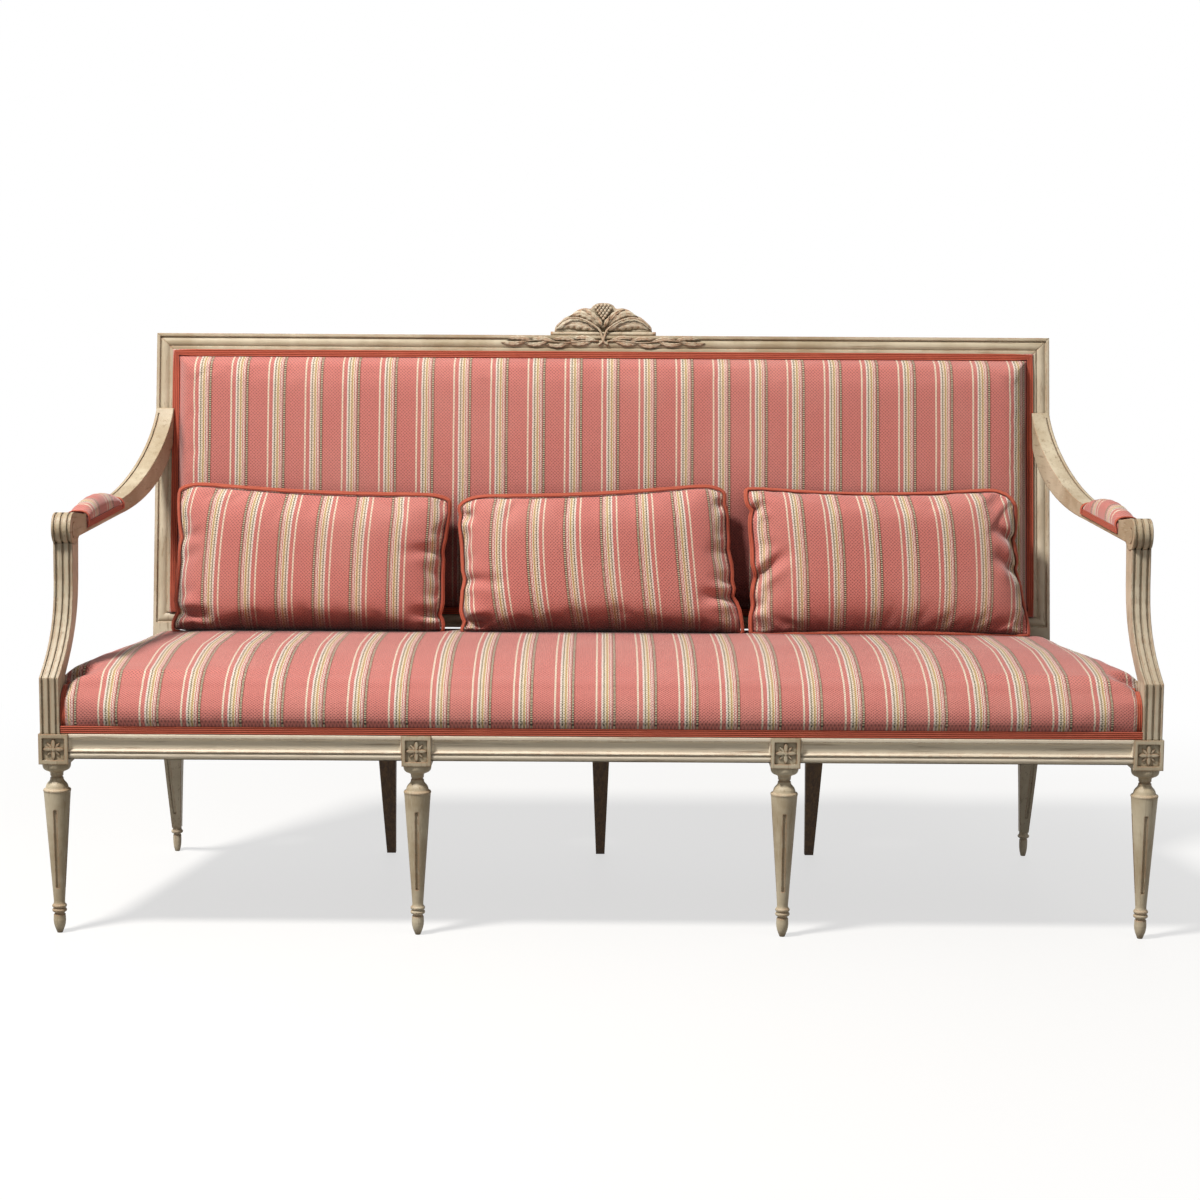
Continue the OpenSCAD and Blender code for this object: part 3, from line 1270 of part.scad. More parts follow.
// Gimp along the lower edges of an arm pad and over its two ends
module arm_gimp(side) {
    near = pad_half + soft_gap;
    far = near + arm_gimp_t;
    side_places = [for (v = [0.06, 0.15, 0.32, 0.5, 0.68, 0.85, 0.94]) pad_at(v)];
    color(braid) on_side(side) {
        for (s = [-1, 1]) loft(
            [for (p = side_places) let (low = cover_low(p), high = low + arm_gimp_w)
                s > 0 ? [[near, low], [far, low], [far, high], [near, high]] : [[-near, high], [-far, high], [-far, low], [-near, low]]],
            side_places);
        for (ends = [[0, 1], [7, 8]]) {
            places = [for (k = ends) pad_places[k]];
            loft([for (p = places) concat(
                mirror_arch(pad_arch(p, pad_half, cover_low(p), -arm_gimp_t - 3 * soft_gap)),
                backwards(mirror_arch(pad_arch(p, pad_half, cover_low(p), -3 * soft_gap))))], places);
        }
    }
}

module arm_pad_left() { arm_pad(-1); }
module arm_pad_right() { arm_pad(1); }
module arm_cover_left() { arm_cover(-1); }
module arm_cover_right() { arm_cover(1); }
module arm_gimp_left() { arm_gimp(-1); }
module arm_gimp_right() { arm_gimp(1); }

// Loose cushions

cushion_nx = 10;
cushion_ny = 6;
draw_in = 0.035;
corner_pull = 0.02;
seam_t = 1.5;
cushion_shift = -7;
cord_off = cord_r + seam_t / 2;
slit_cells = [4, 5];

// Places -1 to 1 across a cushion, closer together near its seam
function seam_place(i, n) = sin(90 * (2 * i / n - 1));

// Place s, t in the plane of a cushion of size [width, height], moved out by off at the seam
function cushion_place(s, t, size, off) = [
    size[0] / 2 * s * (1 - draw_in * (1 - t * t)) * (1 - corner_pull * pow(s * t, 8)) + off * sign(s) * pow(abs(s), 6),
    size[1] / 2 * t * (1 - 1.4 * draw_in * (1 - s * s)) * (1 - 2 * corner_pull * pow(s * t, 8)) + off * sign(t) * pow(abs(t), 6)];

// Points of a cushion of size [width, height, thickness]: its front, then its back, with a seam edge thick
function cushion_points(size, edge) = [for (face = [-1, 1]) for (j = [0 : cushion_ny]) for (i = [0 : cushion_nx])
    let (s = seam_place(i, cushion_nx), t = seam_place(j, cushion_ny), p = cushion_place(s, t, size, 0))
    [p[0], face * (edge / 2 + (size[2] - edge) / 2 * sqrt((1 - pow(s, 4)) * (1 - pow(t, 4)))), p[1]]];

// Faces of such a cushion, from point first on, without its seam at the slit where open is true
function cushion_faces(first, open) = let (n = cushion_nx + 1, half = n * (cushion_ny + 1), loop = edge_loop(cushion_nx, cushion_ny))
    concat(
        [for (j = [0 : cushion_ny - 1]) for (i = [0 : cushion_nx - 1]) let (p = first + j * n + i)
            each two(p, p + n, p + n + 1, p + 1)],
        [for (j = [0 : cushion_ny - 1]) for (i = [0 : cushion_nx - 1]) let (p = first + half + j * n + i)
            each two(p, p + 1, p + n + 1, p + n)],
        [for (k = [0 : len(loop) - 1]) let (a = loop[k], b = loop[(k + 1) % len(loop)], p = first + a[1] * n + a[0], q = first + b[1] * n + b[0])
            if (!(open && in_slit(a, b))) each two(p, q, q + half, p + half)]);

// Whether the seam from grid place a to b is part of the hand-sewn slit
function in_slit(a, b) = a[1] == 0 && b[1] == 0 && a[0] >= slit_cells[0] && b[0] <= slit_cells[1] + 1;

// Rim faces round the slit, between the outer skin and the inner one from point first on
function slit_faces(first) = let (n = cushion_nx + 1, half = n * (cushion_ny + 1), i0 = slit_cells[0], i1 = slit_cells[1] + 1,
        rim = concat([for (i = [i0 : i1]) i], [for (i = [i1 : -1 : i0]) half + i]))
    [for (k = [0 : len(rim) - 1]) let (a = rim[k], b = rim[(k + 1) % len(rim)]) each two(a, b, first + b, first + a)];

// Height of the seat cover's top at x, y
function seat_top(x, y) = mix(rail_top, seat_edge_z + seat_crown * sin(90 * (1 + x / side_x(y)))
    * sin(180 * (y - rail_front) / (seat_rear - rail_front)), seat_stretch(y));

// Stand of the back cover at x and slope height s
function back_top(x, s) = back_stand + back_crown * sin(90 * (1 + x / panel_x))
    * sin(180 * (s - panel_low) / (panel_high - panel_low));

cord_places = [-1, -0.97, -0.8, -0.5, -0.17, 0.17, 0.5, 0.8, 0.97];

// Places along the seam, anticlockwise from the front, and the cord's middle there
seam_loop = concat(
    [for (c = cord_places) [c, -1]], [for (c = cord_places) [1, c]],
    [for (c = cord_places) [-c, 1]], [for (c = cord_places) [-1, -c]]);
cord_path = [for (p = seam_loop) cushion_place(p[0], p[1], [cushion_w, cushion_h], cord_off + soft_gap)];
cord_drop = cord_r - min([for (p = cord_path) p[1]]) - cushion_h / 2;

// Cushion k's leaning place, counted from the middle one: its cord rests on the seat and its rear
// face on the stuffed back
module at_cushion(k) {
    x = cushion_shift + k * cushion_step;
    inner_x = max(abs(x) - cushion_w / 2, 0);
    z = seat_top(inner_x, back_y - 75) + soft_gap + cord_drop * cos(cushion_lean);
    mid_z = z + cushion_h / 2 * cos(cushion_lean) - cushion_t / 2 * sin(cushion_lean);
    y = back_y + ((mid_z - rail_top) * sin(rake) - back_top(x, slope(mid_z)) - 4 * soft_gap) / cos(rake)
        - cushion_h / 2 * sin(cushion_lean) - cushion_t / 2 * cos(cushion_lean);
    translate([x, y, z]) rotate([-cushion_lean, 0, 0]) translate([0, 0, cushion_h / 2]) children();
}

// A cushion cover with a hand-sewn slit in its lower seam
module cushion(k) {
    inner = [cushion_w - 2 * cover_t, cushion_h - 2 * cover_t, cushion_t - 2 * cover_t];
    count = 2 * (cushion_nx + 1) * (cushion_ny + 1);
    color(cloth) at_cushion(k) polyhedron(
        points = concat(cushion_points([cushion_w, cushion_h, cushion_t], seam_t), cushion_points(inner, seam_t)),
        faces = concat(
            cushion_faces(0, true),
            [for (f = cushion_faces(count, true)) [f[0], f[2], f[1]]],
            slit_faces(count)));
}

// The stuffed lining inside a cushion cover
module cushion_insert(k) {
    gap = cover_t + 2 * soft_gap;
    color(linen) at_cushion(k) polyhedron(
        points = cushion_points([cushion_w - 2 * gap, cushion_h - 2 * gap, cushion_t - 2 * gap], seam_t / 2),
        faces = cushion_faces(0, false));
}

cord_sides = 6;

// Piping cord sewn all round a cushion's seam
module cushion_cord(k) {
    n = len(cord_path);
    color(braid) at_cushion(k) polyhedron(
        points = [for (i = [0 : n - 1]) let (d = cord_path[(i + 1) % n] - cord_path[(i + n - 1) % n], out = [d[1], -d[0]] / norm(d))
            for (m = [0 : cord_sides - 1]) let (a = 360 * m / cord_sides, r = cord_r * cos(a))
                [cord_path[i][0] + out[0] * r, cord_r * sin(a), cord_path[i][1] + out[1] * r]],
        faces = [for (i = [0 : n - 1]) for (m = [0 : cord_sides - 1])
            let (a = i * cord_sides + m, b = i * cord_sides + (m + 1) % cord_sides, c = ((i + 1) % n) * cord_sides + (m + 1) % cord_sides, e = ((i + 1) % n) * cord_sides + m)
            each two(a, e, c, b)]);
}

module cushion_left() { cushion(-1); }
module cushion_center() { cushion(0); }
module cushion_right() { cushion(1); }
module cushion_insert_left() { cushion_insert(-1); }
module cushion_insert_center() { cushion_insert(0); }
module cushion_insert_right() { cushion_insert(1); }
module cushion_cord_left() { cushion_cord(-1); }
module cushion_cord_center() { cushion_cord(0); }
module cushion_cord_right() { cushion_cord(1); }

front_leg_left();
front_leg_inner_left();
front_leg_inner_right();
front_leg_right();
front_rail_left();
front_rail_center();
front_rail_right();
side_rail_left();
side_rail_right();
back_seat_rail();
back_post_left();
back_post_right();
back_leg_left();
back_leg_center();
back_leg_right();
back_bottom_rail();
back_top_rail();
back_uprights();
crest_shell();
rail_sprigs();
seat_braces();
corner_blocks();
arm_left();
arm_right();
arm_support_left();
arm_support_right();
arm_dowels();
seat_webbing();
seat_hessian();
seat_stuffing();
seat_cover();
seat_gimp();
back_webbing();
back_hessian();
back_stuffing();
back_cover();
back_gimp();
back_outer_cloth();
back_outer_gimp();
arm_pad_left();
arm_pad_right();
arm_cover_left();
arm_cover_right();
arm_gimp_left();
arm_gimp_right();
cushion_left();
cushion_center();
cushion_right();
cushion_insert_left();
cushion_insert_center();
cushion_insert_right();
cushion_cord_left();
cushion_cord_center();
cushion_cord_right();
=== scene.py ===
import math

import bmesh
import bpy
import numpy as np
from mathutils import Matrix, Vector
from mathutils.bvhtree import BVHTree


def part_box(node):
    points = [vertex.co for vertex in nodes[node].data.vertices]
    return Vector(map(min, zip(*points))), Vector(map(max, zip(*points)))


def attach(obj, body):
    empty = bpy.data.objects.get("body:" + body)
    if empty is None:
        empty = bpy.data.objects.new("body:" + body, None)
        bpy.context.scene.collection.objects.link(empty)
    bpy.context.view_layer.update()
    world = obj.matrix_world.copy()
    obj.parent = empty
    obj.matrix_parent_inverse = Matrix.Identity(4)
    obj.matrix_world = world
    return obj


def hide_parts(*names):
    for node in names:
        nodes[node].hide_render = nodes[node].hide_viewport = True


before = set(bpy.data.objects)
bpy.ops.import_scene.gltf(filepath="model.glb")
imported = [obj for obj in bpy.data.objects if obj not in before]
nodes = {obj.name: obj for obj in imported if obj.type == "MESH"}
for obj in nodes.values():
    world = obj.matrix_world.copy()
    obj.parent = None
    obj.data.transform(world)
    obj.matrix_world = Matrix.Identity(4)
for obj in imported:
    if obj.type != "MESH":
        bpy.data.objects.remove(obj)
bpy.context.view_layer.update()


# The show-wood frame: beech, turned and moulded, and painted a grey stone colour that has worn thin.
# The paint is rubbed through to pinkish wood on the edges, and old wax and dust darken the hollows.
# Each piece keeps its CAD shape and takes a paint whose brush streaks run along the wood; some take a paler
# copy of it, painted light that makes them look more brightly lit.

def srgb(*levels):
    """A colour given from 0 to 255 as the linear colour that Blender takes."""
    shares = [level / 255 for level in levels]
    return (*(s / 12.92 if s <= 0.04045 else ((s + 0.055) / 1.055) ** 2.4 for s in shares), 1.0)


class Wire:
    """One output of a node. Arithmetic on it adds Math nodes, and [name] is another output of that node."""

    def __init__(self, socket):
        self.socket = socket
        self.tree = socket.id_data

    def __getitem__(self, output):
        return Wire(self.socket.node.outputs[output])

    def maths(self, operation, *others):
        return add(self.tree, "ShaderNodeMath", dict(enumerate((self, *others))), operation=operation)

    def sine(self):
        return self.maths("SINE")

    def __add__(self, other):
        return self.maths("ADD", other)

    def __sub__(self, other):
        return self.maths("SUBTRACT", other)

    def __rsub__(self, other):
        return add(self.tree, "ShaderNodeMath", {0: other, 1: self}, operation="SUBTRACT")

    def __mul__(self, other):
        return self.maths("MULTIPLY", other)

    def __truediv__(self, other):
        return self.maths("DIVIDE", other)


def feed(node, inputs):
    """Set or link the inputs of a node."""
    for socket, value in inputs.items():
        if isinstance(value, Wire):
            value.tree.links.new(value.socket, node.inputs[socket])
        else:
            node.inputs[socket].default_value = value


def add(tree, kind, inputs, output=0, **settings):
    """An output of a new node with those inputs and settings."""
    node = tree.nodes.new(kind)
    for name, value in settings.items():
        setattr(node, name, value)
    feed(node, inputs)
    return Wire(node.outputs[output])


def mix(share, first, second, how="MIX"):
    tree = (share if isinstance(share, Wire) else first).tree
    return add(tree, "ShaderNodeMix", {0: share, 6: first, 7: second}, 2, data_type="RGBA", blend_type=how)


def between(value, low, high):
    """0 up to low, 1 from high on, and a smooth rise between them."""
    inputs = {0: value, 1: low, 2: high}
    return add(value.tree, "ShaderNodeMapRange", inputs, interpolation_type="SMOOTHSTEP")


def noise(place, scale, detail=4.0, roughness=0.6):
    inputs = {"Vector": place, "Scale": scale, "Detail": detail, "Roughness": roughness}
    return add(place.tree, "ShaderNodeTexNoise", inputs)


def bump(height, strength, depth, **others):
    inputs = {"Strength": strength, "Distance": depth, "Height": height}
    return add(height.tree, "ShaderNodeBump", {**inputs, **others})


def grain_place(tree, grain):
    """The object's own coordinates, and the same drawn out along the grain."""
    place = add(tree, "ShaderNodeTexCoord", {}, "Object")
    return place, add(tree, "ShaderNodeVectorMath", {0: place, 1: grain}, operation="MULTIPLY")


def new_group(name, inputs, outputs, kind="Shader"):
    """A node group with inputs {label: (kind, default)} and outputs {label: kind}: its inputs as a wire, and
    the node that takes its outputs."""
    tree = bpy.data.node_groups.new(name, kind + "NodeTree")
    for label, (socket, default) in inputs.items():
        made = tree.interface.new_socket(name=label, in_out="INPUT", socket_type="NodeSocket" + socket)
        if default is not None:
            made.default_value = default
    for label, socket in outputs.items():
        tree.interface.new_socket(name=label, in_out="OUTPUT", socket_type="NodeSocket" + socket)
    return Wire(tree.nodes.new("NodeGroupInput").outputs[0]), tree.nodes.new("NodeGroupOutput")


def use_group(tree, group, **inputs):
    return add(tree, "ShaderNodeGroup", inputs, node_tree=group)


def new_material(name):
    """A material with a bare Principled shader: its tree and that shader."""
    material = bpy.data.materials.new(name)
    material.use_nodes = True
    return material, material.node_tree, material.node_tree.nodes["Principled BSDF"]


def edge_and_hollow():
    """Masks that old finishes share: worn edges, hollows, which some finishes darken as dirt and others as
    painted shade, and a normal with the edges rounded.
    """
    given, out = new_group(
        "edges and hollows", {"Radius": ("Float", 0.003), "Depth": ("Float", 0.012)},
        {"Edge": "Float", "Hollow": "Float", "Rounded": "Vector"})
    rounded = add(given.tree, "ShaderNodeBevel", {"Radius": given["Radius"]}, samples=4)
    flat = add(given.tree, "ShaderNodeNewGeometry", {}, "True Normal")
    alike = add(given.tree, "ShaderNodeVectorMath", {0: rounded, 1: flat}, "Value", operation="DOT_PRODUCT")
    open_sky = add(given.tree, "ShaderNodeAmbientOcclusion", {"Distance": given["Depth"]}, "AO", samples=5)
    feed(out, {"Edge": between(1.0 - alike, 0.01, 0.14) * between(open_sky, 0.5, 0.9),
               "Hollow": between(1.0 - open_sky, 0.15, 0.8), "Rounded": rounded})
    return given.tree


edges_and_hollows = edge_and_hollow()


def worn_paint():
    given, out = new_group(
        "worn paint", {"Grain": ("Vector", (6, 180, 180)), "Wear": ("Float", 1.0), "Grime": ("Float", 1.0),
                       "Pale": ("Float", 0.0)},
        {"Color": "Color", "Roughness": "Float", "Height": "Float", "Rounded": "Vector"})
    place, along = grain_place(given.tree, given["Grain"])
    streaks, hairs = noise(along, 1.0, 6.0, 0.65), noise(along, 2.7, 3.0)
    clouds, specks = noise(place, 8.0, 5.0), noise(place, 70.0, 3.0, 0.7)
    masks = use_group(given.tree, edges_and_hollows, Radius=0.0035, Depth=0.014)
    colour = mix(between(clouds, 0.36, 0.66), srgb(170, 152, 122), srgb(206, 193, 166))
    # The colour is drawn towards a pale stone by the given share: painted light
    colour = mix(given["Pale"], colour, srgb(240, 228, 206))
    colour = mix(between(streaks, 0.54, 0.70) * 0.62, colour, srgb(128, 104, 76))
    colour = mix(between(hairs, 0.56, 0.72) * 0.45, colour, srgb(212, 203, 178))
    rubbed = between(streaks, 0.60, 0.76) * between(specks, 0.48, 0.62)
    worn = masks["Edge"] * between(specks, 0.36, 0.56)
    worn = worn.maths("MAXIMUM", rubbed * 0.5) * given["Wear"]
    colour = mix(worn * 0.85, colour, srgb(176, 130, 96))
    grime = masks["Hollow"] * (clouds * 0.7 + 0.5) * given["Grime"]
    feed(out, {"Color": mix(grime.maths("MINIMUM", 0.92), colour, srgb(104, 86, 58)),
               "Roughness": worn * 0.16 + clouds * 0.16 + 0.46,
               "Height": streaks * 0.6 + hairs * 0.25 - worn * 0.35, "Rounded": masks["Rounded"]})
    return given.tree


paint_group = worn_paint()


def painted(name, grain, wear=1.0, grime=1.0, painted_light=0.0):
    """The worn paint as a material whose streaks run the way that grain gives, drawn paler by the given
    share as painted light.
    """
    material, tree, shader = new_material(name)
    finish = use_group(tree, paint_group, Grain=grain, Wear=wear, Grime=grime, Pale=painted_light)
    feed(shader, {"Base Color": finish["Color"], "Roughness": finish["Roughness"],
                  "Normal": bump(finish["Height"], 0.5, 0.0009, Normal=finish["Rounded"])})
    return material


def dress(piece, material):
    """Give the piece this material and no other."""
    piece.data.materials.clear()
    piece.data.materials.append(material)


def finish_nodes(material, slot_name, *names):
    """Give CAD nodes their material; slot_name is not used."""
    for name in names:
        dress(nodes[name], material)


# The front rails, and less so the posts, supports and carving, take a paler copy of the paint: painted light
finish_nodes(painted("paint_along_the_front", (6, 180, 180), 1.2, 0.25, 0.75), "painted_wood",
             "front_rail_left", "front_rail_center", "front_rail_right")
finish_nodes(painted("paint_along_the_rails", (6, 180, 180), 1.2, 0.45), "painted_wood",
             "back_bottom_rail", "back_top_rail")
finish_nodes(painted("paint_up_the_posts", (180, 180, 6), 1.2, 0.6, 0.2), "painted_wood",
             "back_post_left", "back_post_right", "arm_support_left", "arm_support_right")
finish_nodes(painted("paint_on_the_legs", (180, 180, 6), 2.2, 1.5), "painted_wood",
             "front_leg_left", "front_leg_inner_left", "front_leg_inner_right", "front_leg_right")
finish_nodes(painted("paint_along_the_arms", (180, 6, 180)), "painted_wood",
             "side_rail_left", "side_rail_right", "arm_left", "arm_right")


# The wood that isn't shown: inner back legs, rear seat rail, braces, uprights, glue blocks and dowels.
# It is the same beech, left bare and gone brown with age, with the grain running along each piece.

def bare_wood(name, grain):
    material, tree, shader = new_material(name)
    along = grain_place(tree, grain)[1]
    grain_lines, pores = noise(along, 1.0, 8.0, 0.7), noise(along, 5.0, 2.0, 0.5)
    masks = use_group(tree, edges_and_hollows, Radius=0.003, Depth=0.02)
    colour = mix(between(grain_lines, 0.35, 0.68), srgb(74, 54, 38), srgb(122, 96, 68))
    colour = mix(between(pores, 0.6, 0.75) * 0.5, colour, srgb(54, 38, 26))
    colour = mix(masks["Edge"] * 0.5, colour, srgb(158, 128, 94))
    feed(shader, {"Base Color": mix(masks["Hollow"] * 0.6, colour, srgb(42, 30, 22)),
                  "Roughness": pores * 0.2 + 0.55,
                  "Normal": bump(grain_lines, 0.4, 0.0007, Normal=masks["Rounded"])})
    return material


finish_nodes(bare_wood("bare_wood_upright", (150, 150, 7)), "bare_wood",
             "back_leg_left", "back_leg_center", "back_leg_right", "back_uprights", "arm_dowels")
finish_nodes(bare_wood("bare_wood_across", (7, 150, 150)), "bare_wood", "back_seat_rail")
finish_nodes(bare_wood("bare_wood_deep", (150, 7, 150)), "bare_wood", "seat_braces", "corner_blocks")


# The carving over the top rail: a shell of leaves round a cluster of berries, and two leafy sprigs in
# low relief. Each leaf, berry and stem is cut as a raised form with a flat rear that sits on the rail.

BACK_Y = 0.2005
RAIL_TOP = 0.348
RAKE = math.radians(9.35)
SLOPE_H = 0.67598
on_back = Matrix.Translation((0, BACK_Y, RAIL_TOP)) @ Matrix.Rotation(-RAKE, 4, "X")


def tilted(x, up, height):
    """A place on the raked back: across, up the slope, and in front of the frame."""
    return on_back @ Vector((x, -height, up))


def new_object(name, data):
    thing = bpy.data.objects.new(name, data)
    bpy.context.scene.collection.objects.link(thing)
    return thing


def new_piece(name, points, faces, material, smooth=True):
    """A mesh object at the origin."""
    mesh = bpy.data.meshes.new(name)
    mesh.from_pydata([tuple(p) for p in points], [], [tuple(f) for f in faces])
    mesh.materials.append(material)
    mesh.polygons.foreach_set("use_smooth", [smooth] * len(mesh.polygons))
    mesh.update()
    return new_object(name, mesh)


def outward(piece, merge=0.0):
    """Turn every face of a closed piece outwards, with vertices nearer than merge joined first."""
    mesh = bmesh.new()
    mesh.from_mesh(piece.data)
    if merge:
        bmesh.ops.remove_doubles(mesh, verts=mesh.verts, dist=merge)
    bmesh.ops.recalc_face_normals(mesh, faces=mesh.faces)
    mesh.to_mesh(piece.data)
    mesh.free()
    return piece


def fix(piece, slot_name, *replaced, body="sofa"):
    """Hide the CAD nodes that the piece stands for and attach it to the body that carries it; slot_name is
    not used.
    """
    if replaced:
        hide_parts(*replaced)
    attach(piece, body)


def two_sided(rows, columns, first=0):
    """Faces of a closed sheet: a grid of points row by row, the same for its rear, and the rim."""
    rear = rows * columns
    faces = []
    for j in range(rows - 1):
        for i in range(columns - 1):
            a = first + j * columns + i
            b = a + columns
            faces += [[a, a + 1, b + 1, b], [rear + a, rear + b, rear + b + 1, rear + a + 1]]
    rim = list(range(columns)) + [j * columns + columns - 1 for j in range(1, rows)]
    rim += [(rows - 1) * columns + i for i in range(columns - 2, -1, -1)]
    rim += [j * columns for j in range(rows - 2, 0, -1)]
    for a, b in zip(rim, rim[1:] + rim[:1]):
        faces.append([first + b, first + a, first + rear + a, first + rear + b])
    return faces


def loft(rings, around, first=0, capped=True):
    """Faces of a tube through rings of points, with its two ends."""
    faces = []
    for i in range(rings - 1):
        for k in range(around):
            a, b = first + i * around + k, first + i * around + (k + 1) % around
            faces.append([a, b, b + around, a + around])
    if capped:
        faces += [[first + i * around + k for k in range(around)] for i in (0, rings - 1)]
    return faces


def smooth_path(points, count):
    """Points spaced evenly by number along a smooth curve through the given ones."""
    points = [Vector(p) for p in points]
    ends = [2 * points[0] - points[1]] + points + [2 * points[-1] - points[-2]]
    path = []
    for place in np.linspace(0, len(points) - 1, count):
        k = min(int(place), len(points) - 2)
        t = place - k
        a, b, c, d = ends[k:k + 4]
        path.append(0.5 * ((2 * b) + (c - a) * t + (2 * a - 5 * b + 4 * c - d) * t * t
                           + (3 * b - a - 3 * c + d) * t ** 3))
    return path


class Relief:
    """Collects raised forms that are laid out with x across, z up the slope and y to the rear."""

    def __init__(self):
        self.points = []
        self.faces = []

    def slab(self, front, rear_y):
        """A closed form from a grid of front points down to a flat rear."""
        self.faces += two_sided(len(front), len(front[0]), len(self.points))
        whole = [tuple(p) for row in front for p in row]
        self.points += whole + [(x, rear_y, z) for x, y, z in whole]

    def leaf(self, spine, width, rise, face_y, rear_y, veins, fold, scallop):
        """A leaf along spine points (x, z): pointed at both ends and domed, with a midrib and veins."""
        spine = [Vector((p[0], 0, p[1])) for p in smooth_path(spine, 26)]
        last = len(spine) - 1
        grid = []
        for i, p in enumerate(spine):
            t = i / last
            ahead = spine[min(i + 1, last)] - spine[max(i - 1, 0)]
            aside = Vector((-ahead.z, 0, ahead.x)).normalized()
            half = width / 2 * max(math.sin(math.pi * min(1, 0.04 + t * 0.96)) ** 0.75, 0.03)
            swelling = 0.35 + 0.65 * math.sin(math.pi * min(1, 0.08 + 0.92 * t))
            row = []
            for s in np.linspace(-1, 1, 13):
                valley = 1 - abs(math.sin(math.pi * (veins * t - 0.45 * abs(s))))
                dome = rise * (1 - 0.75 * s * s) * swelling - rise * fold * math.exp(-(s * 5) ** 2)
                dome -= rise * 0.30 * valley ** 2 * min(1, abs(s) * 2.5)
                place = p + aside * half * s * (1 - scallop * valley * abs(s))
                row.append((place.x, face_y - dome, place.z))
            grid.append(row)
        self.slab(grid, rear_y)

    def stem(self, path, radius, y):
        """A round stem along points (x, z), thinner towards its end."""
        path = smooth_path(path, 22)
        around, last = 8, len(path) - 1
        self.faces += loft(len(path), around, len(self.points))
        for i, (x, z) in enumerate(path):
            a, b = path[max(i - 1, 0)], path[min(i + 1, last)]
            aside = Vector((-(b[1] - a[1]), b[0] - a[0])).normalized()
            r = radius * (1 - 0.55 * i / last)
            for angle in np.arange(around) * 2 * math.pi / around:
                out = r * math.cos(angle)
                self.points.append((x + aside.x * out, y - r * math.sin(angle), z + aside.y * out))

    def ball(self, x, y, z, r):
        """A berry, a little taller than wide."""
        first, rings, around, tall = len(self.points), 6, 10, 1.08
        self.points.append((x, y, z + r * tall))
        for polar in np.arange(1, rings) * math.pi / rings:
            out = r * math.sin(polar)
            for turn in np.arange(around) * 2 * math.pi / around:
                self.points.append((x + out * math.cos(turn), y + out * math.sin(turn),
                                    z + r * tall * math.cos(polar)))
        self.points.append((x, y, z - r * tall))
        last = len(self.points) - 1
        self.faces += loft(rings - 1, around, first + 1, capped=False)
        for k in range(around):
            m = (k + 1) % around
            self.faces += [[first, first + 1 + m, first + 1 + k],
                           [last, last - around + k, last - around + m]]

    def mirrored(self):
        """Add the mirror image of all forms so far on the other side of the middle."""
        count = len(self.points)
        self.points += [(-x, y, z) for x, y, z in self.points]
        self.faces += [[count + k for k in reversed(face)] for face in self.faces]

    def piece(self, name, *replaced):
        points = [tilted(x, z, -y) for x, y, z in self.points]
        fix(outward(new_piece(name, points, self.faces, paint_carved)), "painted_wood", *replaced)


# The carving's paint is a little paler: painted light
paint_carved = painted("paint_on_the_carving", (60, 90, 90), 1.4, 1.2, 0.25)
CREST_BASE = SLOPE_H + 0.0075
CREST_REAR = 0.0168
crest = Relief()
# The ground behind everything steps down on each side, from the berries to the upper and the outer leaf
outline = smooth_path([(0, 0.0565), (0.0107, 0.0555), (0.0190, 0.0515), (0.0248, 0.0455),
                       (0.0370, 0.0462), (0.0500, 0.0420), (0.0595, 0.0335), (0.0710, 0.0292),
                       (0.0830, 0.0195), (0.0915, 0.0105), (0.0935, 0.0010)], 61)
crest.slab([[(x * share, 0.0105 - 0.0035 * share, CREST_BASE + z * share)
             for share in (0.02, 0.3, 0.55, 0.75, 0.9, 0.97, 1.0)] for x, z in outline], CREST_REAR)
# The outer leaf, the upper leaf behind its rib, and the tulip leaf that holds the berries
for spine, width, rise, y, veins in (
        ([(0.010, 0.004), (0.036, 0.0125), (0.064, 0.0155), (0.0905, 0.0045)], 0.0225, 0.0066, 0.0080, 6),
        ([(0.006, 0.010), (0.024, 0.026), (0.044, 0.035), (0.066, 0.0300)], 0.0170, 0.0060, 0.0072, 5),
        ([(0.004, 0.010), (0.014, 0.026), (0.027, 0.038), (0.041, 0.0435)], 0.0120, 0.0060, 0.0062, 4),
        ([(0.001, 0.008), (0.007, 0.020), (0.0150, 0.033)], 0.0095, 0.0062, 0.0046, 2)):
    crest.leaf([(x, CREST_BASE + z) for x, z in spine], width, rise, y, CREST_REAR, veins, 0.30, 0.22)
# The rib of the large leaf rises from the other side's sprig, crosses over the bar and arches outwards
crest.stem([(x, CREST_BASE + z) for x, z in (
    (-0.010, -0.0262), (-0.001, -0.0190), (0.0035, -0.0060), (0.0090, 0.0050), (0.0275, 0.0180),
    (0.045, 0.0250), (0.062, 0.0262), (0.078, 0.0195), (0.0890, 0.0080))], 0.0026, -0.0012)
crest.mirrored()
for row, count in enumerate((1, 2, 3, 4, 5, 4)):
    for k in range(count):
        crest.ball((k - (count - 1) / 2) * 0.0070, 0.0042, CREST_BASE + 0.0255 + row * 0.0051, 0.0035)
crest.piece("carved_crest", "crest_shell")

# The bar under the shell is a plain moulded strip
bar = Relief()
profile = ((0.004, 0.0002), (0.002, 0.002), (0.002, 0.0055), (0.0045, 0.0078))
bar.slab([[(x, y, SLOPE_H + z) for y, z in profile] for x in np.linspace(-0.101, 0.101, 24)], CREST_REAR)
bar.piece("crest_bar")

# Each sprig is a waving stem with leaves that lean out of it by turns
sprigs = Relief()
LEAF_LENGTH = 0.050


def stem_z(x):
    return SLOPE_H - 0.0120 + 0.0022 * math.sin(x * 2 * math.pi / 0.098)


